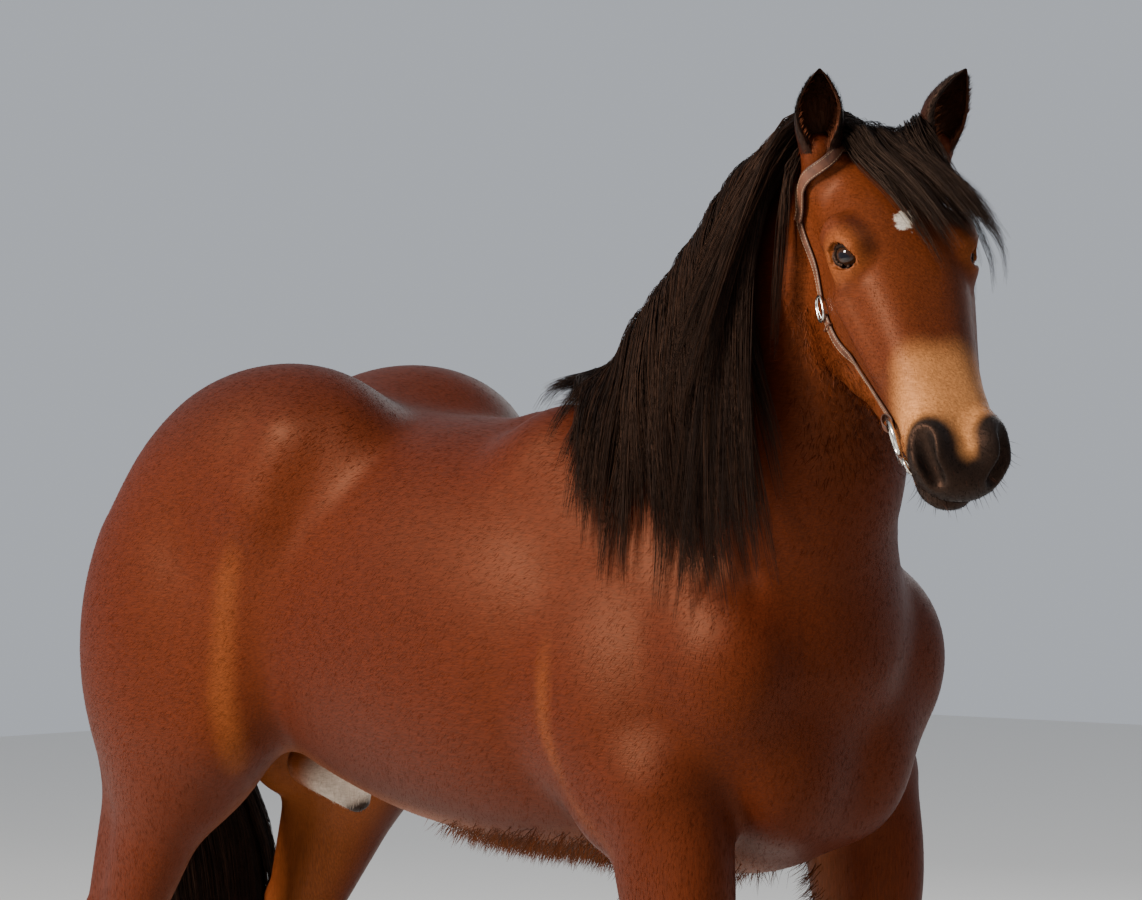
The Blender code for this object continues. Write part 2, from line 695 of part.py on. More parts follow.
def coronet(x):
    """A point of the plane between pastern and hoof, and the way up out of the hoof."""
    return np.array((x + 0.062, 0, 0.083)), unit((-0.043, 0, 0.105))


def pastern_block(x, grow):
    point, up = coronet(x)
    return wedge("pastern_block", [(point + up * grow, up)])


def ear_frame(side):
    """Base of the ear, the way up it, the way that its cup faces, and the way across it."""
    axis = unit(HEAD_AXES.T @ (-0.22, (0.31 if side == LEFT else 0.20) * side, 0.94))
    faces = HEAD_AXES.T @ (0.95, 0.30 * side, 0.25)
    faces = unit(faces - axis * (faces @ axis))
    return head(0.012, 0.140 * side, 0.012), axis, faces, np.cross(axis, faces)


def ear_block(side, grow):
    base, axis, faces, across = ear_frame(side)
    planes = [(base, -axis)]
    for i in range(6):
        way = faces * math.cos(i * math.pi / 3) + across * math.sin(i * math.pi / 3)
        planes.append((base + way * 0.045, way))
    return wedge("ear_block", planes, grow)


def ear(name, side):
    """A leaf-shaped cup with a rolled base: rings that are open towards the front, rising to the tip."""
    base, axis, faces, across = ear_frame(side)
    rows, arc = 11, 9
    points = []
    for i in range(rows):
        t = i / (rows - 1)
        half = EAR_WIDTH / 2 * smooth(t, (0, 0.22, 0.45, 0.75, 0.93, 1), (0.80, 0.97, 0.97, 0.62, 0.24, 0.07))
        gap = math.radians(smooth(t, (0, 0.15, 0.4, 0.8, 1), (14, 28, 62, 84, 88)))
        wall = smooth(t, (0, 0.2, 0.5, 1), (0.55, 0.26, 0.13, 0.35))
        middle = base + axis * (GAP + t * EAR_LENGTH) - faces * 0.010 * math.sin(math.pi * t)
        middle = middle - across * side * 0.010 * t * t
        for shell in (1, 1 - wall):
            turn = np.linspace(gap, 2 * math.pi - gap, arc)
            for angle in turn if shell == 1 else turn[::-1]:
                spot = faces * math.cos(angle) * 0.85 + across * math.sin(angle)
                points.append(middle + spot * half * shell)
    ring = 2 * arc
    faces_made = [tuple(range(ring))[::-1], tuple(range((rows - 1) * ring, rows * ring))]
    for i in range(rows - 1):
        for j in range(ring):
            k = (j + 1) % ring
            faces_made.append((i * ring + j, i * ring + k, (i + 1) * ring + k, (i + 1) * ring + j))
    obj = new_mesh(name, points, faces_made, "points")
    apply(obj, "TRIANGULATE")
    return obj


def ball(name, centre, radius, tone, look, segments=14, rings=8):
    """A sphere whose pole looks along look."""
    mesh = bmesh.new()
    bmesh.ops.create_uvsphere(mesh, u_segments=segments, v_segments=rings, radius=radius)
    turn = Vector(look).to_track_quat("Z", "Y").to_matrix().to_4x4()
    bmesh.ops.transform(mesh, matrix=Matrix.Translation(Vector(centre)) @ turn, verts=mesh.verts)
    data = bpy.data.meshes.new(name)
    mesh.to_mesh(data)
    mesh.free()
    obj = new_mesh(name, [v.co for v in data.vertices], [tuple(p.vertices) for p in data.polygons], tone)
    bpy.data.meshes.remove(data)
    return obj


def hoof(name, x, y):
    """A hoof from the flat of its sole up to the coronet."""
    point, up = coronet(x)
    count = 20
    rings = ((0.0, 0.965), (0.004, 1.0), (0.5, None), (1.0, None))
    points = []
    for height, size in rings:
        for i in range(count):
            angle = 2 * math.pi * i / count
            c, s = math.cos(angle), math.sin(angle)
            back = 0.86 if c < 0 else 1.0
            spread = 1.0 if size is None else size
            sole = np.array((x + 0.095 + HOOF_LENGTH / 2 * spread * c * back, y + HOOF_WIDTH / 2 * spread * s, 0))
            if size is not None:
                sole[2] = height
                points.append(sole)
                continue
            top = np.array((x + 0.060 + 0.066 * c, y + 0.064 * s, 0))
            top[2] = point[2] - up[0] / up[2] * (top[0] - point[0]) - GAP
            points.append(sole * (1 - height) + top * height)
    faces = [tuple(range(count))[::-1], tuple(range(3 * count, 4 * count))]
    for i in range(3):
        for j in range(count):
            k = (j + 1) % count
            faces.append((i * count + j, i * count + k, (i + 1) * count + k, (i + 1) * count + j))
    obj = new_mesh(name, points, faces, "horn")
    apply(obj, "TRIANGULATE")
    return obj


def band(name, path, faces_out, width, thick, sink, tone):
    """A flat strap along the path, this thick over the flesh and sunk a little into it."""
    tangent = np.gradient(path, axis=0)
    side = np.cross(tangent, faces_out)
    side *= width / 2 / np.linalg.norm(side, axis=1, keepdims=True)
    low, high = path - faces_out * sink, path + faces_out * thick
    rings = np.stack((low - side, low + side, high + side, high - side), axis=1)
    last = 4 * len(path) - 4
    faces = [(3, 2, 1, 0), (last, last + 1, last + 2, last + 3)]
    for i in range(len(path) - 1):
        faces += [(4 * i + j, 4 * i + (j + 1) % 4, 4 * i + 4 + (j + 1) % 4, 4 * i + 4 + j) for j in range(4)]
    obj = new_mesh(name, rings.reshape(-1, 3), faces, tone)
    apply(obj, "TRIANGULATE")
    return obj


def hoop(name, centre, along, across, radii, thick, tone, count=12, sides=4):
    """A closed ring of round stock, oval by its two radii."""
    turn = [2 * math.pi * i / count for i in range(count)]
    path = [centre + unit(along) * radii[0] * math.cos(a) + unit(across) * radii[1] * math.sin(a) for a in turn]
    return tube(name, path, thick, tone, sides)


def tube(name, path, thick, tone, sides=5):
    """A closed ring of round stock that follows the path."""
    path = np.asarray(path, float)
    ahead = np.roll(path, -1, axis=0) - np.roll(path, 1, axis=0)
    middle = path.mean(0)
    faces = []
    points = []
    for i, spot in enumerate(path):
        spoke = unit(spot - middle)
        normal = unit(np.cross(ahead[i], spoke))
        for j in range(sides):
            b = 2 * math.pi * j / sides
            points.append(spot + (spoke * math.cos(b) + normal * math.sin(b)) * thick)
            k, n = (j + 1) % sides, (i + 1) % len(path)
            faces.append((i * sides + j, n * sides + j, n * sides + k, i * sides + k))
    obj = new_mesh(name, points, faces, tone)
    apply(obj, "TRIANGULATE")
    return obj


def along(points, count):
    """A smooth path of count points through the given ones."""
    points = np.asarray(points, float)
    s = np.linspace(0, len(points) - 1, count)
    return np.stack([smooth(s, range(len(points)), points[:, a]) for a in range(3)], axis=1)


for old in list(bpy.data.objects):
    bpy.data.objects.remove(old)
parts = bpy.data.collections.new("percheron_horse")
cutters = bpy.data.collections.new("cutters")
cutters.hide_render = True
bpy.context.scene.collection.children.link(parts)
bpy.context.scene.collection.children.link(cutters)

SIDES = (("left", LEFT), ("right", RIGHT))

# Flesh
torso = flesh(
    "torso", (-0.98, -0.42, 0.78), (0.95, 0.42, 1.80), 0.012, "coat",
    outside=[
        neck_block(0),
        tail_block(GAP),
        *(block(side, GAP) for _, side in SIDES for block in (foreleg_block, hindleg_block)),
    ],
    target=2100,
)
neck = flesh(
    "neck", (0.10, -0.42, 1.05), (1.10, 0.36, 2.10), 0.010, "coat",
    inside=[neck_block(-GAP)], outside=[head_block(GAP)], target=1100,
)
face = flesh(
    "head", (0.74, -0.62, 1.38), (1.45, 0.12, 2.08), 0.0045, "coat",
    inside=[head_block(0)], outside=[ear_block(side, GAP) for _, side in SIDES], target=3300,
)
tail = flesh(
    "tail", (-1.06, -0.10, 0.92), (-0.84, 0.10, 1.60), 0.008, "hair", inside=[tail_block(0)], target=260,
)
ears = []
for name, side in SIDES:
    flesh(
        "foreleg_" + name, (0.38, min(0.04 * side, 0.36 * side), 0.05), (0.86, max(0.04 * side, 0.36 * side), 1.16),
        0.008, "coat", inside=[foreleg_block(side, 0)], outside=[pastern_block(FORELEG[side][0], 0)], target=760,
    )
    flesh(
        "hindleg_" + name, (-1.00, min(0.02 * side, 0.38 * side), 0.05), (-0.20, max(0.02 * side, 0.38 * side), 1.20),
        0.008, "coat", inside=[hindleg_block(side, 0)], outside=[pastern_block(HINDLEG[side][0], 0)], target=860,
    )
    hoof("hoof_fore_" + name, *FORELEG[side])
    hoof("hoof_hind_" + name, *HINDLEG[side])
    ears.append(ear("ear_" + name, side))
    middle, look, _ = eye_place(side)
    ball("eye_" + name, middle, EYE, "eye", look)
    rim = tube("rim", list(lids(side, EYE + 0.001)), LID, "coat")
    boolean(face, rim, "UNION")
    drop(rim)
    socket = ball("socket", middle, EYE + 1.5 * GAP, "eye", look)
    boolean(face, socket, "DIFFERENCE")
    drop(socket)
keep_largest(face)

# Hair
random = np.random.default_rng(7)
MANE_LOCKS = 28
MANE_WIDTH = 0.066
FORELOCK_LOCKS = 8
TAIL_LOCKS = 16
LOCK_PROFILE = (0.60, 0.85, 1.0, 1.0, 0.86, 0.60)
CREST = (
    (0.950, -0.172, 2.02), (0.80, -0.145, 1.99), (0.66, -0.09, 1.90), (0.52, -0.05, 1.79),
    (0.38, -0.03, 1.70), (0.28, -0.02, 1.66), (0.23, -0.02, 1.645),
)


def crest(s, sink):
    """Points of the crest from the poll (0) to the end of the mane (1), sunk into it."""
    row = np.stack([smooth(s * (len(CREST) - 1), range(len(CREST)), [p[a] for p in CREST]) for a in range(3)], 1)
    return land(row, -sink)


def locks(starts, ways, lengths, lifts, width, thick, strides=STRIDES, sway=(0, 0, 0), stiff=0.5):
    """Flat locks that fall from the starts over the flesh, each with a little of its own in width."""
    paths = drape(starts, ways, lengths, lifts, strides, sway, stiff)
    shapes = []
    for path in paths:
        faces_out = outward(path)
        size = random.uniform(0.85, 1.15)
        shapes.append(lock(path, faces_out, width * size, thick, LOCK_PROFILE[: len(path) - 1]))
    return shapes


line = crest(np.linspace(-0.02, 1.0, 12), 0.006)
points, faces = lock(line, outward(line), 0.062, 0.044, np.ones(len(line) - 1))
mane = new_mesh("mane", points, faces, "hair")
count = MANE_LOCKS
s = 0.045 + (np.arange(count) + random.uniform(0.25, 0.75, count)) / count * 0.925
layer = (np.arange(count) * 2) % 3
roots = crest(s, -0.004 - 0.004 * layer) + np.stack((0 * s, 0.018 - 0.012 * layer, 0 * s), 1)
reach = smooth(s, (0, 0.12, 0.4, 0.6, 0.8, 1), (0.58, 0.70, 0.66, 0.50, 0.26, 0.12))
reach = reach * random.uniform(0.84, 1.06, count)
ways = np.stack((smooth(s, (0, 0.12, 0.3, 1), (-0.50, -0.18, 0.12, 0.15)), -1.0 + 0 * s, 0.30 - 0.35 * s), 1)
sway = np.stack((smooth(s, (0, 0.12, 0.3, 1), (-0.20, -0.03, 0.08, 0.08)), 0 * s, 0 * s), 1)
fuse(mane, locks(roots, ways, reach, 0.006 + 0.011 * layer, MANE_WIDTH, 0.010, sway=sway, stiff=0.5))

count = FORELOCK_LOCKS
layer = np.arange(count) % 3
across = np.linspace(-0.085, 0.075, count)
core = np.array([head(-0.01 + 0.02 * math.cos(20 * y), y, 0.03) for y in np.linspace(-0.095, 0.10, 7)])
points, faces = lock(land(core, 0.004), outward(core), 0.060, 0.036, np.ones(len(core) - 1))
forelock = new_mesh("forelock", points, faces, "hair")
roots = land([head(0.0, y, 0.02) for y in across], 0.008 + 0.006 * layer)
ways = np.array([HEAD_AXES.T @ (0.80, 0.30 + 0.5 * random.random(), 0.35) for _ in range(count)])
reach = np.linspace(0.20, 0.33, count)[(np.arange(count) * 7) % count]
sway = HEAD_AXES[1] * 0.20 + HEAD_AXES[0] * 0.25
fuse(forelock, locks(roots, ways, reach, 0.005 + 0.009 * layer, 0.036, 0.009, sway=sway, stiff=0.66))

count = TAIL_LOCKS
height = (1.52, 1.36, 1.20, 1.02, 0.84, 0.64, 0.45)
centre_x = (-0.885, -0.948, -0.962, -0.968, -0.966, -0.960, -0.955)
centre_y = (0.0, 0.0, 0.01, 0.035, 0.065, 0.075, 0.08)
half_x = (0.028, 0.034, 0.046, 0.058, 0.066, 0.056, 0.030)
half_y = (0.030, 0.042, 0.080, 0.125, 0.155, 0.130, 0.070)
shapes = []
for i in range(count):
    turn = 2.4 * i
    full = (1.0, 0.62)[i % 2]
    top = 1.53 - 0.36 * ((i * 0.618) % 1)
    z = np.linspace(top, TAIL_END * random.uniform(0.92, 1.25), 7)
    fan = np.clip((top - z) / 0.15, 0.45, 1) * full
    shape = [smooth(-z, [-h for h in height], row) for row in (centre_x, centre_y, half_x, half_y)]
    path = np.stack((shape[0] + shape[2] * fan * math.cos(turn), shape[1] + shape[3] * fan * math.sin(turn), z), 1)
    path = np.where((depth(path) < 0.012)[:, None], land(path, 0.012), path) if i % 2 == 0 else path
    out = np.tile((math.cos(turn) / 0.06, math.sin(turn) / 0.14, 0.0), (7, 1))
    shapes.append(lock(path, out, 0.066 * random.uniform(0.85, 1.15), 0.018, LOCK_PROFILE))
fuse(tail, shapes)

for obj, near in ((mane, (neck, face, torso, *ears)), (forelock, (face, *ears, mane)), (tail, (torso,))):
    trim(obj, near)


# Headstall and bit
STRAP = 0.016
STRAP_THICK = 0.003
STRAP_SINK = 0.002


def strap(name, marks, width, tone="leather", lift=0.0, count=12):
    """A strap that lies on the head along marks in the head's frame, trimmed to the skin below it."""
    path = land(along([head(*mark) for mark in marks], count), lift)
    obj = band(name, path, outward(path), width, STRAP_THICK, STRAP_SINK + lift, tone)
    trim(obj, (face, neck))
    return obj


CHEEK = (
    (0.02, 0.185, -0.10), (0.075, 0.19, -0.15), (0.14, 0.18, -0.185), (0.21, 0.18, -0.215), (0.27, 0.18, -0.24),
)
LOWER_CHEEK = (
    (0.315, 0.18, -0.255), (0.40, 0.16, -0.272), (0.51, 0.14, -0.270), (0.61, 0.12, -0.258), (0.705, 0.12, -0.243),
)
BUCKLE = (0.292, 0.17, -0.248)
BIT = (0.765, 0.13, -0.236)
MOUTH = (0.858, 0.13, -0.236)


def other_side(mark, side):
    return (mark[0], mark[1] * side, mark[2])


for name, side in SIDES:
    strap("cheek_strap_" + name, [other_side(mark, side) for mark in CHEEK], STRAP)
    strap("lower_strap_" + name, [other_side(mark, side) for mark in LOWER_CHEEK], STRAP)
    spot = land(head(*other_side(BUCKLE, side)), 0.007)[0]
    facing = outward(spot)[0]
    run = unit(head(*other_side(LOWER_CHEEK[0], side)) - head(*other_side(CHEEK[-1], side)))
    run = unit(run - facing * (run @ facing))
    hoop("buckle_" + name, spot, run, np.cross(facing, run), (0.019, 0.013), 0.0022, "steel")
    spot = land(head(*other_side(BIT, side)), 0.009)[0]
    facing = outward(spot)[0]
    run = unit(FACE - facing * (FACE @ facing))
    hoop("bit_ring_" + name, spot, run, np.cross(facing, run), (0.032, 0.032), 0.0035, "steel")
    spot = land(head(*other_side(MOUTH, side)), 0.005)[0]
    facing = outward(spot)[0]
    run = unit(FACE - facing * (FACE @ facing))
    hoop("curb_ring_" + name, spot, run, np.cross(facing, run), (0.013, 0.013), 0.0024, "steel", count=9)

for obj in parts.objects:
    obj.data.transform(Matrix.Translation(Vector(-MIDDLE)))
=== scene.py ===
"""A life-size percheron horse in bay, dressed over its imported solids.

One skin covers head, neck, trunk and legs.  It is meshed from the muscles and bones of the solids, in cells
that shrink towards the head, and refined round the eyes and nostrils.  The eyes, the bone above them and the
width of the tail differ a little from the solids.  Short tufts, long locks, eyes, hooves and a headstall
follow.  All shapes are worked out before the final shift by MIDDLE.
"""

import math

import bmesh
import bpy
import numpy as np
from mathutils import Matrix, Vector


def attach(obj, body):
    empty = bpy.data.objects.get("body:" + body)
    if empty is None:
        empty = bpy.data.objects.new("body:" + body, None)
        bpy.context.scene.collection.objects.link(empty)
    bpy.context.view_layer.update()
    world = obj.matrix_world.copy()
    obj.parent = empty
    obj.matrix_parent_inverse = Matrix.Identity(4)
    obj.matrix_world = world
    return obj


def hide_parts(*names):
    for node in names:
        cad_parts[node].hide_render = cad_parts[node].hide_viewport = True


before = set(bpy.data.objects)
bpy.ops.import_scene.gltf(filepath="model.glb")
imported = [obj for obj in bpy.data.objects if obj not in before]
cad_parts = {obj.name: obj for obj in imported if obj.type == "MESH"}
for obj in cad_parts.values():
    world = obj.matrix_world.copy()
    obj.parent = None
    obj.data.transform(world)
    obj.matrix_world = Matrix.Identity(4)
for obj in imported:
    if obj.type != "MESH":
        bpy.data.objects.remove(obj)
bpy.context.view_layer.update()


# Driving dimensions, in metres: x forward, y to the horse's left, z up, feet at z = 0
WITHERS = 1.63
BACK = 1.60
CHEST_FLOOR = 0.872
POLL = np.array((0.987, -0.177, 2.002))
HEAD_LENGTH = 0.655
HEAD_PITCH = math.radians(43.5)
HEAD_YAW = math.radians(-31)
HEAD_TILT = math.radians(1.6)
HOOF_LENGTH = 0.17
HOOF_WIDTH = 0.168
EYE = 0.024
EAR_LENGTH = 0.126
EAR_WIDTH = 0.075
MIDDLE = np.array((0.163, -0.041, 0.0))

LEFT, RIGHT = 1, -1
NAMED_SIDES = (("left", LEFT), ("right", RIGHT))
# A lock's steps from root to tip, as parts of its length
STRIDES = (0.05, 0.09, 0.16, 0.23, 0.25, 0.22)
# Where the cannon of each leg stands
FORELEG = {LEFT: (0.640, 0.190), RIGHT: (0.616, -0.190)}
HINDLEG = {LEFT: (-0.770, 0.205), RIGHT: (-0.812, -0.195)}
ACROSS = np.array((0.0, 1.0, 0.0))
DOWN = np.array((0.0, 0.0, -1.0))


def unit(vector):
    return np.asarray(vector, float) / np.linalg.norm(vector)


def units(vectors):
    """Each of the vectors divided by its length."""
    return vectors / np.maximum(np.linalg.norm(vectors, axis=-1, keepdims=True), 1e-9)


def smooth(x, xs, ys):
    """Value at x of a smooth curve through the points (xs, ys)."""
    xs, ys = np.asarray(xs, float), np.asarray(ys, float)
    slopes = np.gradient(ys, xs)
    i = np.clip(np.searchsorted(xs, x) - 1, 0, len(xs) - 2)
    h = xs[i + 1] - xs[i]
    t = np.clip((x - xs[i]) / h, 0, 1)
    return (
        ys[i] * (1 + 2 * t) * (1 - t) ** 2
        + slopes[i] * h * t * (1 - t) ** 2
        + ys[i + 1] * t * t * (3 - 2 * t)
        + slopes[i + 1] * h * t * t * (t - 1)
    )


# Head frame: forward along the face, left across it, up out of the forehead
FACE = np.array((
    math.cos(HEAD_PITCH) * math.cos(HEAD_YAW),
    math.cos(HEAD_PITCH) * math.sin(HEAD_YAW),
    -math.sin(HEAD_PITCH),
))
LEVEL = np.array((-math.sin(HEAD_YAW), math.cos(HEAD_YAW), 0.0))
BROW = np.cross(FACE, LEVEL)
HEAD_AXES = np.array((
    FACE,
    LEVEL * math.cos(HEAD_TILT) + BROW * math.sin(HEAD_TILT),
    BROW * math.cos(HEAD_TILT) - LEVEL * math.sin(HEAD_TILT),
))


def head(forward, left, up):
    """The point that lies this far from the poll in the head's own frame, in parts of the head's length."""
    return POLL + np.array((forward, left, up)) * HEAD_LENGTH @ HEAD_AXES


class Form:
    """One muscle or bone: a distance function, its box, and how softly it blends in."""

    def __init__(self, distance, low, high, blend, carve):
        self.distance, self.blend, self.carve = distance, blend, carve
        self.low, self.high = np.array(low) - blend, np.array(high) + blend


def rod(a, b, ra, rb, blend=0.03, thin=1.0, across=ACROSS, carve=False):
    """A tapered rod with round ends, squeezed to thin times its width along across."""
    a, b, across = np.asarray(a, float), np.asarray(b, float), unit(across)
    ab = b - a
    scale = max(thin, 1.0) * max(ra, rb)

    def distance(p):
        t = np.clip((p - a) @ ab / (ab @ ab), 0, 1)
        q = p - a - t[:, None] * ab
        q += (q @ across * (1 / thin - 1))[:, None] * across
        return np.linalg.norm(q, axis=1) - (ra + (rb - ra) * t)

    return Form(distance, np.minimum(a, b) - scale, np.maximum(a, b) + scale, blend, carve)


def egg(centre, radii, blend=0.04, turn=0.0, axes=None, carve=False):
    """An ellipsoid on the given axes, or on the world's, pitched nose down by turn degrees about y."""
    centre, radii = np.asarray(centre, float), np.asarray(radii, float)
    if axes is None:
        c, s = math.cos(math.radians(turn)), math.sin(math.radians(turn))
        axes = np.array(((c, 0, -s), (0, 1, 0), (s, 0, c)))

    def distance(p):
        q = (p - centre) @ axes.T
        k = np.linalg.norm(q / radii, axis=1)
        return k * (k - 1) / np.maximum(np.linalg.norm(q / radii**2, axis=1), 1e-9)

    reach = radii.max()
    return Form(distance, centre - reach, centre + reach, blend, carve)


def sections(stations, blend, origin=(0, 0, 0), axes=np.eye(3), power=2.2):
    """A tube of sections along the first axis, each with its top, floor, half width and widest height."""
    x, top, floor, half, widest = (np.array(row) for row in zip(*stations))
    origin = np.asarray(origin, float)

    def distance(p):
        p = (p - origin) @ axes.T
        s = np.clip(p[:, 0], x[0], x[-1])
        middle = smooth(s, x, widest)
        rise = np.where(p[:, 2] > middle, smooth(s, x, top) - middle, middle - smooth(s, x, floor))
        side = smooth(s, x, half)
        k = ((np.abs(p[:, 1]) / side) ** power + (np.abs(p[:, 2] - middle) / rise) ** power) ** (1 / power)
        inside = (k - 1) * np.minimum(side, rise)
        past_end = np.abs(p[:, 0] - s)
        return np.where(past_end > 0, np.hypot(np.maximum(inside, 0), past_end), inside)

    corners = np.array([
        (f, l, u) for f in (x[0], x[-1]) for l in (-half.max(), half.max()) for u in (floor.min(), top.max())
    ])
    corners = origin + corners @ axes
    return Form(distance, corners.min(0), corners.max(0), blend, False)


def trunk_forms():
    stations = (
        (-0.78, 1.50, 1.12, 0.15, 1.35),
        (-0.62, 1.612, 1.07, 0.21, 1.35),
        (-0.42, 1.655, 0.985, 0.255, 1.30),
        (-0.20, BACK + 0.015, 0.918, 0.29, 1.24),
        (0.02, BACK, 0.885, 0.318, 1.21),
        (0.22, WITHERS - 0.05, CHEST_FLOOR, 0.315, 1.20),
        (0.42, WITHERS - 0.08, CHEST_FLOOR, 0.27, 1.20),
        (0.60, 1.48, 0.885, 0.225, 1.20),
        (0.72, 1.38, 0.96, 0.18, 1.20),
    )
    yield sections(stations, 0.02)
    yield rod((0.10, 0, 1.555), (0.34, -0.01, 1.60), 0.04, 0.055, 0.07)
    yield rod((-0.66, 0, 1.60), (-0.86, 0, 1.49), 0.06, 0.045, 0.06)
    yield egg((0.56, 0, 0.98), (0.20, 0.13, 0.105), 0.06)
    yield egg((0.66, 0, 1.24), (0.17, 0.17, 0.20), 0.08)
    yield rod((-0.42, 0, 0.985), (-0.20, 0, 0.93), 0.03, 0.02, 0.03)
    yield rod((-0.53, 0, 0.985), (-0.405, 0, 0.928), 0.044, 0.026, 0.03)


def quarter_forms(side):
    """Shoulder, chest, rump and thigh of one side."""
    y = side
    yield egg((-0.455, 0.145 * y, 1.500), (0.32, 0.165, 0.20), 0.045, turn=-7)
    yield rod((-0.30, 0.235 * y, 1.56), (-0.34, 0.25 * y, 1.46), 0.035, 0.04, 0.07)
    yield egg((-0.63, 0.195 * y, 1.22), (0.25, 0.155, 0.35), 0.06, turn=8)
    yield rod((-0.79, 0.135 * y, 1.38), (-0.77, 0.165 * y, 0.99), 0.10, 0.085, 0.05)
    yield rod((-0.40, 0.215 * y, 1.40), (-0.495, 0.235 * y, 1.08), 0.10, 0.085, 0.09, thin=0.8)
    yield rod((0.26, 0.125 * y, 1.50), (0.655, 0.178 * y, 1.21), 0.11, 0.122, 0.09, thin=0.75)
    yield egg((0.46, 0.225 * y, 1.12), (0.155, 0.09, 0.20), 0.06, turn=-25)
    yield egg((0.660, 0.160 * y, 1.18), (0.088, 0.088, 0.14), 0.08)
    yield egg((0.692, 0.080 * y, 1.07), (0.105, 0.102, 0.15), 0.05)


def neck_forms():
    """The neck as oval rods through its middle line, from the chest up to the poll."""
    line = (
        ((0.52, 0.0, 1.375), 0.365, 0.60),
        ((0.613, -0.03, 1.543), 0.295, 0.57),
        ((0.696, -0.07, 1.690), 0.231, 0.56),
        ((0.776, -0.115, 1.810), 0.186, 0.57),
        ((0.865, -0.148, 1.895), 0.15, 0.62),
    )
    for (a, ra, thin), (b, rb, _) in zip(line, line[1:]):
        bend = math.radians(-60) * (b[2] - 1.37)
        yield rod(a, b, ra, rb, 0.05, thin, (-math.sin(bend), math.cos(bend), 0))


def foreleg_forms(side):
    y = side
    x, foot = FORELEG[side]
    yield rod((x - 0.052, 0.222 * y, 1.00), (x + 0.003, foot, 0.56), 0.106, 0.058, 0.05, thin=0.82)
    yield egg((x + 0.016, 0.212 * y, 0.86), (0.056, 0.056, 0.14), 0.04)
    yield egg((x - 0.072, 0.210 * y, 0.87), (0.052, 0.056, 0.13), 0.04)
    yield egg((x - 0.150, 0.225 * y, 0.97), (0.060, 0.048, 0.065), 0.05)
    yield egg((x + 0.008, foot, 0.505), (0.064, 0.062, 0.082), 0.03)
    yield egg((x - 0.038, foot, 0.51), (0.038, 0.038, 0.052), 0.02)
    yield rod((x + 0.002, foot, 0.46), (x, foot, 0.28), 0.047, 0.041, 0.02)
    yield rod((x - 0.040, foot, 0.46), (x - 0.034, foot, 0.27), 0.027, 0.025, 0.015)
    yield from foot_forms(x, foot)


def hindleg_forms(side):
    y = side
    x, foot = HINDLEG[side]
    yield rod((x + 0.205, 0.222 * y, 1.06), (x - 0.010, foot, 0.68), 0.122, 0.060, 0.06, thin=0.74)
    yield rod((x + 0.085, 0.20 * y, 1.03), (x - 0.086, foot, 0.69), 0.100, 0.034, 0.04, thin=0.62)
    yield rod((x - 0.033, foot, 0.655), (x - 0.023, foot, 0.54), 0.064, 0.058, 0.03, thin=0.84)
    yield rod((x - 0.090, foot, 0.705), (x - 0.065, foot, 0.57), 0.030, 0.036, 0.02, thin=0.85)
    yield rod((x - 0.020, foot, 0.54), (x, foot, 0.30), 0.051, 0.043, 0.02, thin=0.87)
    yield rod((x - 0.062, foot, 0.56), (x - 0.037, foot, 0.28), 0.028, 0.025, 0.015)
    yield from foot_forms(x, foot)


def foot_forms(x, y):
    """Fetlock, ergot and pastern below a cannon that stands at x."""
    yield egg((x, y, 0.25), (0.057, 0.052, 0.055), 0.025)
    yield egg((x - 0.036, y, 0.243), (0.034, 0.040, 0.038), 0.02)
    yield rod((x + 0.01, y, 0.225), (x + 0.055, y, 0.115), 0.046, 0.052, 0.025)
    yield egg((x + 0.060, y, 0.094), (0.067, 0.064, 0.030), 0.015)


def tail_forms():
    yield rod((-0.87, 0, 1.50), (-0.945, 0, 1.41), 0.042, 0.036, 0.03)
    yield rod((-0.945, 0, 1.41), (-0.962, 0, 1.18), 0.036, 0.026, 0.02)
    yield rod((-0.962, 0, 1.18), (-0.950, 0, 0.98), 0.026, 0.014, 0.02)


def eye_place(side):
    """Middle of the eyeball, the way it looks, and the way from its outer to its inner corner."""
    look = unit(HEAD_AXES.T @ (0.50, 0.76 * side, 0.42))
    inner = HEAD_AXES.T @ (0.34, -0.90 * side, -0.04)
    inner = unit(inner - look * (inner @ look))
    return head(0.325, 0.122 * side, -0.060), look, inner


def lids(side, reach, count=7):
    """Points round the opening between the lids: over the upper lid, then back under the eye."""
    middle, look, inner = eye_place(side)
    above = unit(HEAD_AXES[2] - look * (HEAD_AXES[2] @ look))
    above = unit(above - inner * (above @ inner))
    for rise, turn in ((0.72, 1), (-0.58, -1)):
        for i in range(count):
            t = turn * (2 * i / count - 1)
            way = look * math.sqrt(0.16 + 0.70 * (1 - abs(t))) + inner * 0.98 * t + above * rise * (1 - t * t)
            yield middle + unit(way) * reach


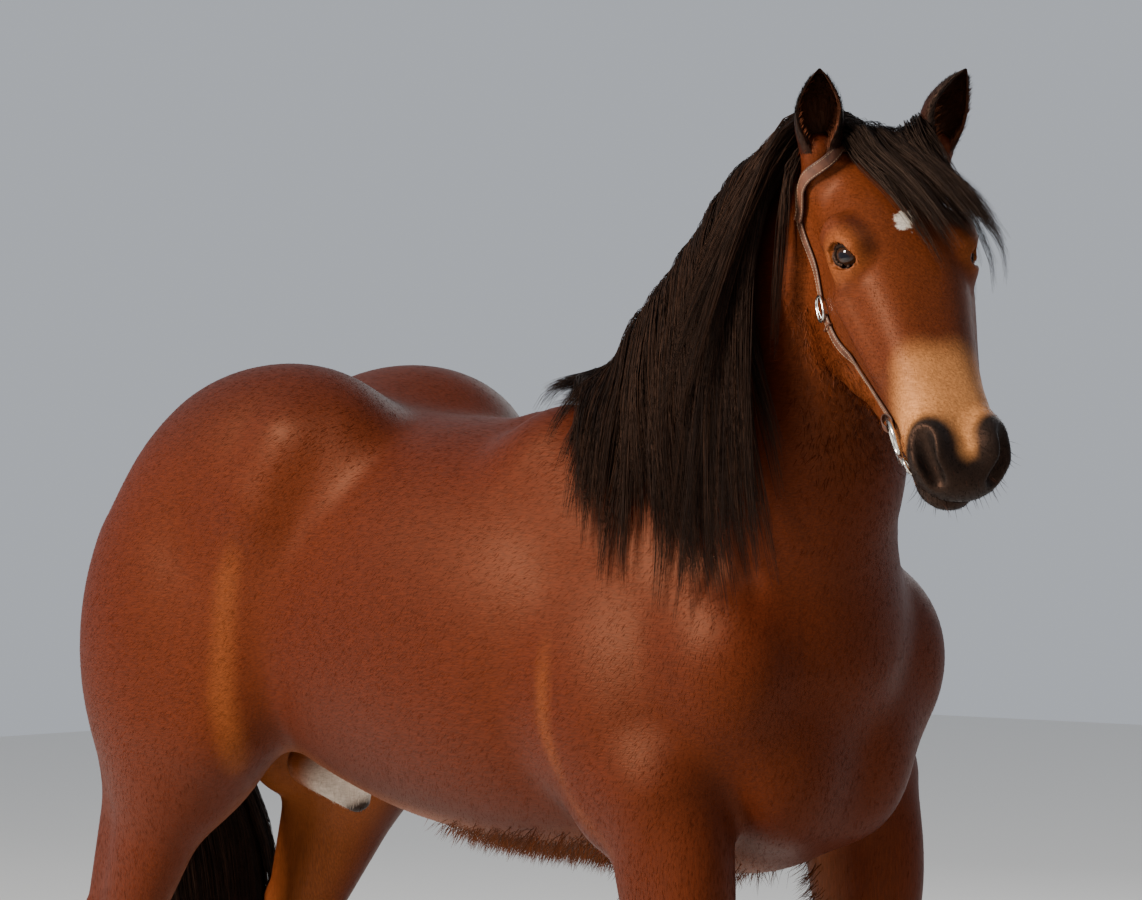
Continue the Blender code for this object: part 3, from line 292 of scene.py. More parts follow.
def head_forms():
    """The head, in parts of its length."""

    def lump(forward, left, up, radii, blend, carve=False):
        return egg(head(forward, left, up), HEAD_LENGTH * np.array(radii), blend, axes=HEAD_AXES, carve=carve)

    def bone(a, b, ra, rb, blend, thin=1.0, carve=False):
        ra, rb = ra * HEAD_LENGTH, rb * HEAD_LENGTH
        return rod(head(*a), head(*b), ra, rb, blend, thin, HEAD_AXES[1], carve)

    skull = np.array((
        (0.02, -0.030, -0.17, 0.090, -0.09),
        (0.09, -0.005, -0.26, 0.112, -0.09),
        (0.19, 0.016, -0.32, 0.134, -0.08),
        (0.31, 0.018, -0.34, 0.148, -0.09),
        (0.44, -0.006, -0.325, 0.136, -0.12),
        (0.58, -0.034, -0.290, 0.116, -0.135),
        (0.72, -0.058, -0.255, 0.100, -0.140),
        (0.84, -0.078, -0.240, 0.100, -0.145),
        (0.92, -0.110, -0.235, 0.090, -0.160),
    ))
    yield sections(skull * HEAD_LENGTH, 0.05, POLL, HEAD_AXES, 2.5)
    yield lump(0.925, 0, -0.170, (0.066, 0.094, 0.064), 0.02)
    yield lump(0.865, 0, -0.262, (0.075, 0.066, 0.038), 0.015)
    for y in (LEFT, RIGHT):
        yield bone((0.04, 0.115 * y, -0.08), (0.015, 0.140 * y, -0.01), 0.056, 0.044, 0.03)
        yield lump(0.245, 0.090 * y, -0.285, (0.185, 0.058, 0.155), 0.02)
        yield bone((0.22, 0.060 * y, -0.39), (0.42, 0.050 * y, -0.350), 0.048, 0.038, 0.03)
        yield bone((0.42, 0.050 * y, -0.350), (0.80, 0.026 * y, -0.248), 0.038, 0.034, 0.03)
        yield bone((0.39, 0.142 * y, -0.140), (0.60, 0.106 * y, -0.160), 0.022, 0.012, 0.03)
        yield bone((0.14, 0.120 * y, -0.105), (0.24, 0.148 * y, -0.085), 0.022, 0.024, 0.03)
        yield lump(0.320, 0.128 * y, -0.066, (0.084, 0.046, 0.058), 0.025)
        yield bone((0.255, 0.146 * y, -0.036), (0.345, 0.130 * y, -0.020), 0.018, 0.016, 0.035)
        yield lump(0.893, 0.066 * y, -0.120, (0.068, 0.044, 0.056), 0.03)
        socket, look, inner = eye_place(y)
        axes = np.array((inner, look, np.cross(inner, look)))
        yield egg(socket + look * 0.030, (0.030, 0.021, 0.019), 0.004, axes=axes, carve=True)
        yield bone((0.905, 0.104 * y, -0.080), (0.966, 0.066 * y, -0.150), 0.027, 0.016, 0.012, carve=True)
        yield bone((0.825, 0.115 * y, -0.222), (1.00, 0.045 * y, -0.232), 0.008, 0.006, 0.010, carve=True)


def flesh_forms():
    yield from trunk_forms()
    for side in (LEFT, RIGHT):
        yield from quarter_forms(side)
    yield from neck_forms()
    for side in (LEFT, RIGHT):
        yield from foreleg_forms(side)
        yield from hindleg_forms(side)
    yield from tail_forms()
    yield from head_forms()


FLESH = list(flesh_forms())


def depth(points, box=0.15):
    """Distance of each point outside the flesh, negative inside it, from the forms near its small box."""
    points = np.asarray(points, float).reshape(-1, 3)
    cells = np.floor(points / box).astype(np.int64)
    keys = cells @ np.array((1, 1000, 1000000))
    order = np.argsort(keys, kind="stable")
    breaks = np.flatnonzero(np.diff(keys[order])) + 1
    found = np.empty(len(points))
    for part in np.split(order, breaks) if len(points) else ():
        found[part] = depth_near(points[part])
    return found


def depth_near(points, reach=0.05):
    """The same for points that lie close together."""
    low, high = points.min(0) - reach, points.max(0) + reach
    found = np.full(len(points), 1.0)
    for form in FLESH:
        if (form.high < low).any() or (form.low > high).any():
            continue
        d, k = form.distance(points), form.blend
        if form.carve:
            h = np.clip(0.5 - 0.5 * (found + d) / k, 0, 1)
            found = found * (1 - h) - d * h + k * h * (1 - h)
        else:
            h = np.clip(0.5 + 0.5 * (d - found) / k, 0, 1)
            found = d + (found - d) * h - k * h * (1 - h)
    return found


def outward(points, step=0.002):
    """Unit direction out of the flesh at each point."""
    points = np.asarray(points, float).reshape(-1, 3)
    slope = np.stack([depth(points + e) - depth(points - e) for e in np.eye(3) * step], axis=1)
    return units(slope)


def land(points, lift=0.0):
    """Moves the points onto the flesh, or to that height over it."""
    points = np.array(points, float).reshape(-1, 3)
    for _ in range(6):
        points -= outward(points) * np.clip(depth(points) - lift, -0.03, 0.03)[:, None]
    return points


def drape(starts, ways, lengths, lifts, strides=STRIDES, sway=(0, 0, 0), stiff=0.5):
    """Paths of locks that set off along ways, turn down under their weight and rest on the flesh at lifts."""
    point = np.array(starts, float)
    heading = np.array(ways, float)
    paths = [point]
    for stride in strides:
        heading = heading * stiff + DOWN * (1 - stiff) + np.asarray(sway)
        normal = outward(point)
        into = (heading * normal).sum(1, keepdims=True)
        heading = heading - normal * np.where((into > 0) & (depth(point) < 0.04)[:, None], into, 0)
        heading = units(heading)
        ahead = point + heading * np.asarray(lengths)[:, None] * stride
        for _ in range(2):
            short = np.maximum(np.asarray(lifts) - depth(ahead), 0)
            ahead = ahead + outward(ahead) * np.minimum(short, 0.05)[:, None]
        heading = units(ahead - point)
        point = ahead
        paths.append(point)
    return np.stack(paths, axis=1)


def coronet(x):
    """A point of the plane between pastern and hoof, and the way up out of the hoof."""
    return np.array((x + 0.062, 0, 0.083)), unit((-0.043, 0, 0.105))


def ear_frame(side):
    """Base of the ear, the way up it, the way that its cup faces, and the way across it."""
    axis = unit(HEAD_AXES.T @ (-0.22, (0.31 if side == LEFT else 0.20) * side, 0.94))
    faces = HEAD_AXES.T @ (0.95, 0.30 * side, 0.25)
    faces = unit(faces - axis * (faces @ axis))
    return head(0.012, 0.140 * side, 0.012), axis, faces, np.cross(axis, faces)


# How far the skin lies inside the flesh, on the body and on the face
COAT_DEPTH = 0.0022
FACE_COAT_DEPTH = 0.0005
random = np.random.default_rng(5)


def lid_line(side, reach, wide):
    """A line beside the opening between the lids: wide times as far from the way that the eye looks."""
    middle, look, _ = eye_place(side)
    for spot in lids(side, 1.0):
        way = spot - middle
        away = way - look * (way @ look)
        yield middle + unit(look * (way @ look) + away * wide) * reach


def lid_forms():
    """Both lids and the creases round them, added to the flesh for the skin alone."""
    for side in (LEFT, RIGHT):
        for wide, lift, size, rows in (
            (1.60, 0.0004, 0.0018, slice(0, 7)),
            (2.60, 0.0006, 0.0024, slice(1, 7)),
            (1.80, 0.0004, 0.0016, slice(8, 13)),
            (2.70, 0.0004, 0.0016, slice(9, 13)),
        ):
            row = land(list(lid_line(side, EYE + 0.006, wide))[rows], lift)
            for a, b in zip(row, row[1:]):
                yield rod(a, b, size, size, 0.005, carve=True)
        row = list(lids(side, EYE + 0.0020))
        for i, (a, b) in enumerate(zip(row, row[1:] + row[:1])):
            size = 0.0040 if i < 7 else 0.0030
            yield rod(a, b, size, size, 0.003)


FLESH += list(lid_forms())


def coat_depth(points):
    """How deep the coat is: it thins towards the face."""
    forward = (points - POLL) @ HEAD_AXES[0]
    return COAT_DEPTH + (FACE_COAT_DEPTH - COAT_DEPTH) * ramp(forward, -0.10, 0.05)


# Skin: a grid of cells that shrink towards the head, wrapped round the animal
CELL = 0.0105
GRID_X = [-1.06]
while GRID_X[-1] < 1.46:
    GRID_X.append(GRID_X[-1] + CELL * float(np.interp(GRID_X[-1], (0.78, 0.98), (1.0, 0.45))))
GRID_X = np.array(GRID_X)
GRID_Y = int(0.86 / CELL / 0.72)
GRID_Z = int(1.70 / CELL)


def place(cells):
    """Where points in cells of the grid lie."""
    x = np.interp(cells[:, 0], np.arange(len(GRID_X)), GRID_X)
    y0, y1 = np.interp(x, (0.79, 0.96), (-0.43, -0.49)), np.interp(x, (0.79, 0.96), (0.43, 0.05))
    z0, z1 = np.interp(x, (0.82, 0.98), (0.055, 1.36)), np.interp(x, (0.10, 0.80), (1.745, 2.11))
    return np.stack((x, y0 + (y1 - y0) * cells[:, 1] / GRID_Y, z0 + (z1 - z0) * cells[:, 2] / GRID_Z), 1)


def skin(block=8):
    """Points and quads of the skin: a point in each cell that the surface crosses.

    The surface lies inside the flesh by the depth of the coat.
    """
    blocks = np.ceil(np.array((len(GRID_X) - 1, GRID_Y, GRID_Z)) / block).astype(int)
    grid = np.ones(blocks * block + 1, np.float32)
    index = np.stack(np.meshgrid(*(np.arange(n) for n in blocks), indexing="ij"), -1).reshape(-1, 3)
    middle = place((index + 0.5) * block)
    reach = np.linalg.norm(place((index + 1.0) * block) - place(index * block * 1.0), axis=1) / 2 + 0.03
    rough = depth(middle)
    inside = np.repeat(np.repeat(np.repeat((rough < 0).reshape(blocks), block, 0), block, 1), block, 2)
    grid[:-1, :-1, :-1][inside] = -1
    for start, far in zip(index * block, np.abs(rough) > reach):
        if far:
            continue
        cells = tuple(slice(s, s + block + 1) for s in start)
        local = np.stack(np.meshgrid(*(np.arange(s, s + block + 1.0) for s in start), indexing="ij"), -1)
        spots = place(local.reshape(-1, 3))
        grid[cells] = (depth_near(spots) + coat_depth(spots)).reshape((block + 1,) * 3)
    for axis in range(3):
        for end in (0, -1):
            border = [slice(None)] * 3
            border[axis] = end
            grid[tuple(border)] = CELL
    inside = grid < 0
    shape = np.array(grid.shape) - 1
    total, count, quads = np.zeros((shape.prod(), 3)), np.zeros(shape.prod()), []
    for axis in range(3):
        u, v = (axis + 1) % 3, (axis + 2) % 3
        ahead, behind = [slice(None)] * 3, [slice(None)] * 3
        ahead[axis], behind[axis] = slice(1, None), slice(None, -1)
        at = np.argwhere(inside[tuple(ahead)] != inside[tuple(behind)])
        at = at[(at[:, u] > 0) & (at[:, v] > 0) & (at[:, u] < shape[u]) & (at[:, v] < shape[v])]
        first = grid[tuple(at.T)].astype(float)
        nxt = at.copy()
        nxt[:, axis] += 1
        second = grid[tuple(nxt.T)].astype(float)
        crossing = at.astype(float)
        crossing[:, axis] += first / (first - second)
        ring = []
        for du, dv in ((-1, -1), (0, -1), (0, 0), (-1, 0)):
            cell = at.copy()
            cell[:, u] += du
            cell[:, v] += dv
            flat = np.ravel_multi_index(cell.T, shape)
            ring.append(flat)
            count += np.bincount(flat, minlength=len(count))
            for a in range(3):
                total[:, a] += np.bincount(flat, weights=crossing[:, a], minlength=len(count))
        ring = np.stack(ring, 1)
        ring[first > 0] = ring[first > 0][:, ::-1]
        quads.append(ring)
    quads = np.concatenate(quads)
    used = np.flatnonzero(count)
    number = np.full(len(count), -1)
    number[used] = np.arange(len(used))
    return place(total[used] / count[used, None]), number[quads]


def refined(points, quads, spots):
    """Halves the faces near each spot, then lays every point inside the flesh by the coat's depth."""
    mesh = bmesh.new()
    for point in points:
        mesh.verts.new(point)
    mesh.verts.ensure_lookup_table()
    for quad in quads:
        mesh.faces.new([mesh.verts[i] for i in quad])
    for middle, reach in spots:
        spot = Vector(middle)
        near = [f for f in mesh.faces if (f.calc_center_median() - spot).length < reach]
        edges = list({edge for face in near for edge in face.edges})
        bmesh.ops.subdivide_edges(mesh, edges=edges, cuts=1, use_grid_fill=True)
    bmesh.ops.triangulate(mesh, faces=[f for f in mesh.faces if len(f.verts) > 4])
    mesh.verts.index_update()
    points = np.array([v.co for v in mesh.verts])
    faces = [[v.index for v in f.verts] for f in mesh.faces]
    mesh.free()
    for _ in range(2):
        rise = np.clip(depth(points) + coat_depth(points), -0.006, 0.006)
        points = points - outward(points, 0.001) * rise[:, None]
    kinds = sorted({len(f) for f in faces})
    return points, [np.array([f for f in faces if len(f) == n]) for n in kinds]


def mesh_object(name, points, faces, material, replaces=(), colours=None, patches=None):
    """A piece from points and arrays of faces, with its colours, painted light among them, and its patches of
    the unwrap.
    """
    faces = [f for f in faces if len(f)]
    loops = np.concatenate([f.ravel() for f in faces]).astype(np.int32)
    sizes = np.concatenate([np.full(len(f), f.shape[1]) for f in faces])
    data = bpy.data.meshes.new(name)
    data.vertices.add(len(points))
    data.vertices.foreach_set("co", (np.asarray(points) - MIDDLE).astype(np.float32).ravel())
    data.loops.add(len(loops))
    data.loops.foreach_set("vertex_index", loops)
    data.polygons.add(len(sizes))
    data.polygons.foreach_set("loop_start", (np.cumsum(sizes) - sizes).astype(np.int32))
    data.polygons.foreach_set("use_smooth", np.ones(len(sizes), bool))
    data.update(calc_edges=True)
    if colours is not None:
        marks = data.color_attributes.new("MarkingsAndPaintedLight", "FLOAT_COLOR", "POINT")
        colours = np.clip(np.asarray(colours), 0, 1)
        if colours.shape[1] == 3:
            colours = np.column_stack((colours, np.ones(len(colours))))
        marks.data.foreach_set("color", colours.astype(np.float32).ravel())
    if patches is not None:
        unwrap = data.uv_layers.new(name="OFBake")
        unwrap.data.foreach_set("uv", np.asarray(patches)[loops].astype(np.float32).ravel())
    data.materials.append(material)
    obj = bpy.data.objects.new(name, data)
    bpy.context.scene.collection.objects.link(obj)
    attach(obj, "root")
    if replaces:
        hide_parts(*replaces)


# Markings, with painted light and shade
BAY = np.array((0.060, 0.0092, 0.0024))
# Dark bay: darker tone at random and down the face, used also as painted shade over the back and above the
# eyes
DARK_BAY_AND_SHADE = np.array((0.026, 0.0045, 0.0019))
# Tan: the real tan of belly, inner legs and face, used also as painted light on the head, flank and arm
TAN_AND_PAINTED_LIGHT = np.array((0.190, 0.052, 0.0125))
CREAM = np.array((0.46, 0.190, 0.062))
BLACK = np.array((0.0075, 0.0060, 0.0055))
WHITE = np.array((0.52, 0.46, 0.39))
SOOT = np.array((0.030, 0.012, 0.008))


def in_head(points):
    """The points in the head's own frame, in parts of its length."""
    return (points - POLL) @ HEAD_AXES.T / HEAD_LENGTH


def near_line(points, line, radius, soft=0.5):
    """1 on the line of points, falling to 0 at radius from it."""
    line = np.asarray(line, float)
    best = np.full(len(points), 9.0)
    for a, b in zip(line, line[1:]):
        ab = b - a
        t = np.clip((points - a) @ ab / (ab @ ab), 0, 1)
        best = np.minimum(best, np.linalg.norm(points - a - t[:, None] * ab, axis=1))
    return ramp(best, radius, radius * soft)


def ramp(x, low, high):
    """0 at low, 1 at high, smooth between."""
    t = np.clip((x - low) / (high - low), 0, 1)
    return t * t * (3 - 2 * t)


def paint(colours, mask, tone, strength=1.0):
    """The colours, drawn towards tone where the mask is 1."""
    return colours + (np.asarray(tone) - colours) * (np.clip(mask, 0, 1) * strength)[:, None]


def wobble(points, scale, seed):
    """A smooth uneven field between -1 and 1."""
    turn = np.random.default_rng(seed)
    total = np.zeros(len(points))
    for i in range(4):
        way = unit(turn.normal(size=3)) * scale * (1 + 0.7 * i)
        total += np.sin(points @ way + turn.uniform(0, 6.28)) / (1 + 0.5 * i)
    return total / 2.6


def head_share(points):
    """1 on the head, falling to 0 behind the jaw."""
    f, _, u = in_head(points).T
    return ramp(f, 0.0, 0.06) * ramp(u, -0.75, -0.55) * ramp(points[:, 0], 0.80, 0.92)


def from_eye(points, side):
    """Distance of each point from the front of the eye."""
    eye, look, _ = eye_place(side)
    return np.linalg.norm(points - eye - look * 0.012, axis=1)


def markings_and_painted_light(points):
    """Colour of skin and coat: bay, with black points, a pale muzzle, a star, and painted light and shade."""
    x, y, z = points.T
    side = np.abs(y)
    on_head = head_share(points)
    tone = np.tile(BAY, (len(points), 1))
    # Painted light: the whole head is drawn a little towards tan, standing in for the light on the face
    tone = paint(tone, on_head, TAN_AND_PAINTED_LIGHT, 0.18)
    tone = paint(tone, 0.5 + 0.6 * wobble(points, 6.0, 1), DARK_BAY_AND_SHADE, 0.28)
    # Painted shade: the back and the crest under the mane drawn darker
    tone = paint(tone, ramp(z, 1.50, 1.66) * (1 - on_head), DARK_BAY_AND_SHADE, 0.45)
    half = np.stack((x, side, z), 1)
    # Painted highlights: tan strokes down the ridge of the flank and the back of the arm, where light catches
    # them
    flank_highlight = ((-0.36, 0.27, 1.46), (-0.40, 0.29, 1.32), (-0.425, 0.29, 1.12), (-0.43, 0.25, 0.96))
    tone = paint(tone, near_line(half, flank_highlight, 0.042, 0.1) * ramp(z, 1.52, 1.30), TAN_AND_PAINTED_LIGHT, 0.42)
    arm_highlight = ((0.385, 0.32, 1.30), (0.385, 0.32, 1.10), (0.415, 0.31, 0.99), (0.50, 0.30, 0.90))
    tone = paint(tone, near_line(half, arm_highlight, 0.032, 0.1) * ramp(z, 1.36, 1.15), TAN_AND_PAINTED_LIGHT, 0.38)
    tone = paint(tone, ramp(side, 0.22, 0.15) * ramp(z, 1.00, 0.90) * ramp(x, 0.20, -0.10), TAN_AND_PAINTED_LIGHT, 0.45)
    inner = ramp(side, 0.20, 0.12) * ramp(z, 0.62, 0.74) * ramp(z, 1.15, 1.0) * ramp(x, 0.66, 0.55)
    tone = paint(tone, inner, TAN_AND_PAINTED_LIGHT, 0.6)
    tone = paint(tone, near_line(points, ((-0.45, 0, 0.95), (-0.37, 0, 0.90)), 0.09, 0.3), WHITE, 0.75)
    tone = paint(tone, near_line(points, ((-0.40, 0, 0.905), (-0.375, 0, 0.90)), 0.035), BLACK)
    ragged = 0.05 * wobble(points, 30.0, 2)
    knee = np.where(x > 0, 0.66, 0.62) + 0.10 * wobble(points, 9.0, 3) + ragged
    tone = paint(tone, ramp(z, knee + 0.12, knee - 0.04), BLACK, 0.96)
    tone = paint(tone, ramp(x, -0.84, -0.90) * ramp(side, 0.05, 0.03), BLACK, 0.9)
    return head_markings_and_shade(points, tone, on_head)


def head_markings_and_shade(points, tone, on_head):
    """Adds the marks of the head: pale muzzle, black nose and lips, star, rims of the eyes, and painted
    shade.
    """
    local = in_head(points)
    f, l, u = local.T
    side = np.abs(l)
    middle = ramp(side, 0.13, 0.03)
    tone = paint(tone, on_head * ramp(f, 0.30, 0.62) * ramp(u, -0.20, -0.32), TAN_AND_PAINTED_LIGHT, 0.30)
    tone = paint(tone, on_head * ramp(f, 0.40, 0.66) * (0.35 + 0.65 * middle), DARK_BAY_AND_SHADE, 0.35)
    jag = 0.02 * wobble(points, 60.0, 4)
    muzzle = ramp(f + jag + 0.12 * (side - 0.05), 0.62, 0.90)
    tone = paint(tone, on_head * muzzle, CREAM, 0.80)
    for s in (LEFT, RIGHT):
        line = ((0.70, 0.05 * s, -0.07), (0.80, 0.09 * s, -0.12))
        tone = paint(tone, on_head * near_line(local, line, 0.11, 0.1), CREAM, 0.5)
    # Black round each nostril: the black skin of the nose, with painted shade for the dark of the opening
    for s in (LEFT, RIGHT):
        spot = np.linalg.norm((local - (0.925, 0.076 * s, -0.105)) / (0.072, 0.047, 0.070), axis=1)
        tone = paint(tone, on_head * ramp(spot + jag * 4, 1.5, 0.95), BLACK)
    tone = paint(tone, on_head * ramp(f - 0.25 * (u + 0.17) + jag + 0.5 * side, 0.920, 0.965), BLACK)
    lips = ramp(f, 0.80, 0.87) * ramp(u + jag, -0.180, -0.215)
    tone = paint(tone, on_head * lips, BLACK)
    spot = np.linalg.norm((local - (0.300, -0.008, 0.02)) / (0.035, 0.022, 0.05), axis=1)
    star = ramp(spot + 0.55 * wobble(points, 190.0, 6), 1.05, 0.85)
    tone = paint(tone, on_head * star, WHITE, 0.95)
    for s in (LEFT, RIGHT):
        tone = paint(tone, ramp(from_eye(points, s), 0.055, 0.034), TAN_AND_PAINTED_LIGHT, 0.60)
        edge = list(lids(s, EYE + 0.001))
        tone = paint(tone, near_line(points, edge + edge[:1], 0.0066, 0.7), BLACK)
        # Painted shade: darker in the hollow above each eye
        hollow_shade = (head(0.29, 0.125 * s, 0.0), head(0.36, 0.105 * s, 0.0))
        tone = paint(tone, on_head * near_line(points, hollow_shade, 0.03, 0.1), DARK_BAY_AND_SHADE, 0.45)
    return tone


# Materials
def node(tree, kind, **settings):
    made = tree.nodes.new(kind)
    for key, value in settings.items():
        setattr(made, key, value)
    return made


def material(name, rough, metal=0.0, specular=0.5, shine=(1, 1, 1)):
    slot = bpy.data.materials.new(name)
    slot.use_nodes = True
    shader = slot.node_tree.nodes["Principled BSDF"]
    shader.inputs["Roughness"].default_value = rough
    shader.inputs["Metallic"].default_value = metal
    shader.inputs["Specular IOR Level"].default_value = specular
    shader.inputs["Specular Tint"].default_value = (*shine, 1)
    return slot, slot.node_tree, shader


def marked(tree):
    """The colours that were painted on the points."""
    return node(tree, "ShaderNodeVertexColor", layer_name="MarkingsAndPaintedLight").outputs["Color"]


def streaks(tree, scale, detail=3.0, turn=(0, 0, 0)):
    """Noise, drawn out along the hair where scale has three numbers: small along it, large across.

    The turn is in degrees.
    """
    space = node(tree, "ShaderNodeTexCoord")
    mapping = node(tree, "ShaderNodeMapping")
    mapping.inputs["Rotation"].default_value = [math.radians(a) for a in turn]
    mapping.inputs["Scale"].default_value = [float(a) for a in np.resize(scale, 3)]
    noise = node(tree, "ShaderNodeTexNoise")
    noise.inputs["Scale"].default_value = 1.0
    noise.inputs["Detail"].default_value = detail
    tree.links.new(space.outputs["Object"], mapping.inputs["Vector"])
    tree.links.new(mapping.outputs["Vector"], noise.inputs["Vector"])
    return noise.outputs["Fac"]


def tinted(tree, shader, colour, factor, low, high):
    """Base colour times a grey that runs from low to high with factor."""
    span = node(tree, "ShaderNodeMapRange")
    span.inputs["From Min"].default_value = 0.3
    span.inputs["From Max"].default_value = 0.7
    span.inputs["To Min"].default_value = low
    span.inputs["To Max"].default_value = high
    tree.links.new(factor, span.inputs["Value"])
    mix = node(tree, "ShaderNodeVectorMath", operation="SCALE")
    tree.links.new(colour, mix.inputs[0])
    tree.links.new(span.outputs["Result"], mix.inputs["Scale"])
    tree.links.new(mix.outputs["Vector"], shader.inputs["Base Color"])


def bumped(tree, shader, factor, strength, distance):
    bump = node(tree, "ShaderNodeBump")
    bump.inputs["Strength"].default_value = strength
    bump.inputs["Distance"].default_value = distance
    tree.links.new(factor, bump.inputs["Height"])
    tree.links.new(bump.outputs["Normal"], shader.inputs["Normal"])


# The tint of the hair's shine
GLOSS = (1.0, 0.46, 0.26)


def coat_material():
    """Short glossy hair: streaks that run back and down over the body and straight down the legs."""
    slot, tree, shader = material("coat_hair", 0.52, specular=0.22, shine=GLOSS)
    body = streaks(tree, (60.0, 330.0, 420.0), turn=(0, -32, 0))
    leg = streaks(tree, (420.0, 420.0, 50.0))
    space = node(tree, "ShaderNodeTexCoord")
    axes = node(tree, "ShaderNodeSeparateXYZ")
    tree.links.new(space.outputs["Object"], axes.inputs["Vector"])
    low = node(tree, "ShaderNodeMapRange")
    low.inputs["From Min"].default_value = 0.80
    low.inputs["From Max"].default_value = 1.05
    tree.links.new(axes.outputs["Z"], low.inputs["Value"])
    mix = node(tree, "ShaderNodeMix", data_type="FLOAT")
    tree.links.new(low.outputs["Result"], mix.inputs["Factor"])
    tree.links.new(leg, mix.inputs["A"])
    tree.links.new(body, mix.inputs["B"])
    tinted(tree, shader, marked(tree), mix.outputs["Result"], 0.72, 1.30)
    bumped(tree, shader, mix.outputs["Result"], 0.35, 0.0012)
    return slot


def tuft_material(name, rough, specular):
    slot, tree, shader = material(name, rough, specular=specular, shine=GLOSS)
    tinted(tree, shader, marked(tree), streaks(tree, 90.0, 2.0), 0.75, 1.28)
    return slot


def grained(name, rough, grain, tones, bump, bump_grain=None, **finish):
    """A material whose tone and bump follow noise: a grain is the scale and the detail of its noise."""
    slot, tree, shader = material(name, rough, **finish)
    shade = streaks(tree, *grain)
    tinted(tree, shader, marked(tree), shade, *tones)
    bumped(tree, shader, streaks(tree, *bump_grain) if bump_grain else shade, *bump)
    return slot


COAT = coat_material()
TUFT = tuft_material("coat_tufts", 0.55, 0.15)
LONG = tuft_material("long_hair", 0.50, 0.10)
WET = grained("wet_eye", 0.07, (260.0,), (0.7, 1.4), (0.03, 0.0005), (90.0,), specular=0.28)
HORN = grained("hoof_horn", 0.42, ((6.0, 6.0, 120.0),), (0.65, 1.35), (0.5, 0.0015), specular=0.4)
LEATHER = grained("strap_leather", 0.55, (60.0, 5.0), (0.55, 1.5), (0.4, 0.0005), (700.0, 6.0), specular=0.35)
STEEL = grained("worn_steel", 0.24, (200.0, 6.0), (0.72, 1.1), (0.12, 0.0004), metal=1.0)


# Skin piece
points, quads = skin()
spots = []
for side in (LEFT, RIGHT):
    eye, look, _ = eye_place(side)
    spots += [(eye + look * 0.01, 0.062), (head(0.925, 0.085 * side, -0.12), 0.055)]
for side in (LEFT, RIGHT):
    eye, look, _ = eye_place(side)
    spots += [(eye + look * 0.012, 0.040)]
skin_points, skin_faces = refined(points, quads, spots)
FLESH_NODES = ("torso", "neck", "head", "foreleg_left", "foreleg_right", "hindleg_left", "hindleg_right")
mesh_object("skin", skin_points, skin_faces, COAT, FLESH_NODES, markings_and_painted_light(skin_points))


def corner_triangles(faces):
    """The faces as triangles: each quad is cut in two."""
    cut = [f if f.shape[1] == 3 else np.concatenate((f[:, :3], f[:, [0, 2, 3]])) for f in faces]
    return np.concatenate(cut)


SKIN_TRIANGLES = corner_triangles(skin_faces)
a, b, c = (skin_points[SKIN_TRIANGLES[:, i]] for i in range(3))
SKIN_AREAS = np.linalg.norm(np.cross(b - a, c - a), axis=1) / 2
SKIN_MIDDLES = (a + b + c) / 3


def scatter(count, weight):
    """Roots spread over the skin as thickly as weight says, with the way out of the skin at each."""
    share = SKIN_AREAS * weight
    chosen = random.choice(len(share), count, p=share / share.sum())
    r = np.sqrt(random.random(count))[:, None]
    s = random.random(count)[:, None]
    a, b, c = (skin_points[SKIN_TRIANGLES[chosen, i]] for i in range(3))
    return a * (1 - r) + b * r * (1 - s) + c * r * s, units(np.cross(b - a, c - a))


def unwrapped(points, normals):
    """Place of each root on an unwrap of the skin: its six sides laid out as tiles."""
    axis = np.abs(normals).argmax(1)
    back = normals[np.arange(len(normals)), axis] < 0
    shares = (points - (-1.1, -0.5, 0.0)) / (2.6, 1.0, 2.2)
    u = np.where(axis == 0, shares[:, 1], shares[:, 0])
    v = np.where(axis == 2, shares[:, 1], shares[:, 2])
    tile = np.where(back, 1, 0)
    margin, room = 0.04, 0.92
    u = (axis + margin + room * np.clip(u, 0, 1)) / 3
    v = (tile + margin + room * np.clip(v, 0, 1)) / 2
    return np.stack((u, v), 1)


def blades(roots, normals, lies, lengths, widths, lift, bend):
    """Flat tapered tufts of hair: five points and three faces each, bent back down to the skin."""
    lengths, widths, lift, bend = (np.resize(v, len(roots))[:, None] for v in (lengths, widths, lift, bend))
    lies = units(lies - normals * (lies * normals).sum(1, keepdims=True))
    across = np.cross(normals, lies)
    rise = np.sin(lift)
    base = roots - normals * 0.0006
    middle = roots + lengths * 0.5 * (lies + normals * rise)
    tip = roots + lengths * (lies + normals * (rise * 1.6 - bend))
    half = across * widths
    points = np.stack((base - half, base + half, middle + half * 0.8, middle - half * 0.8, tip), 1)
    first = np.arange(len(roots))[:, None] * 5
    shapes = [first + (3, 2, 1, 0), first + (2, 3, 4)]
    corners = np.array(((-1.5, 0), (1.5, 0), (1.2, 1.5), (-1.2, 1.5), (0, 3))) * 0.001
    patches = unwrapped(roots, normals)[:, None] + corners
    return points.reshape(-1, 3), shapes, patches.reshape(-1, 2)


def body_lie(points, normals):
    """The way that the short hair lies: back and down, down the legs, and from the brow to the nose."""
    x, _, z = points.T
    face = head_share(points)[:, None]
    low = ramp(z, 1.12, 0.92)[:, None]
    front = (ramp(x, 0.30, 0.75) * ramp(z, 1.75, 1.35))[:, None]
    way = np.tile((-0.85, 0.0, -0.52), (len(points), 1))
    way = way + (np.array((-0.25, 0.0, -0.97)) - way) * np.maximum(low, front * 0.75)
    cheek = HEAD_AXES[0] * 0.9 + HEAD_AXES[2] * -0.25
    way = way + (cheek - way) * face
    twist = 0.28 * wobble(points, 22.0, 11)[:, None]
    return way + np.cross(normals, way) * twist


def one_way(way, lift=0.0):
    """A lie that is the same everywhere, apart from its lift off the skin."""
    return lambda points, normals: np.tile(way, (len(points), 1)) + normals * lift


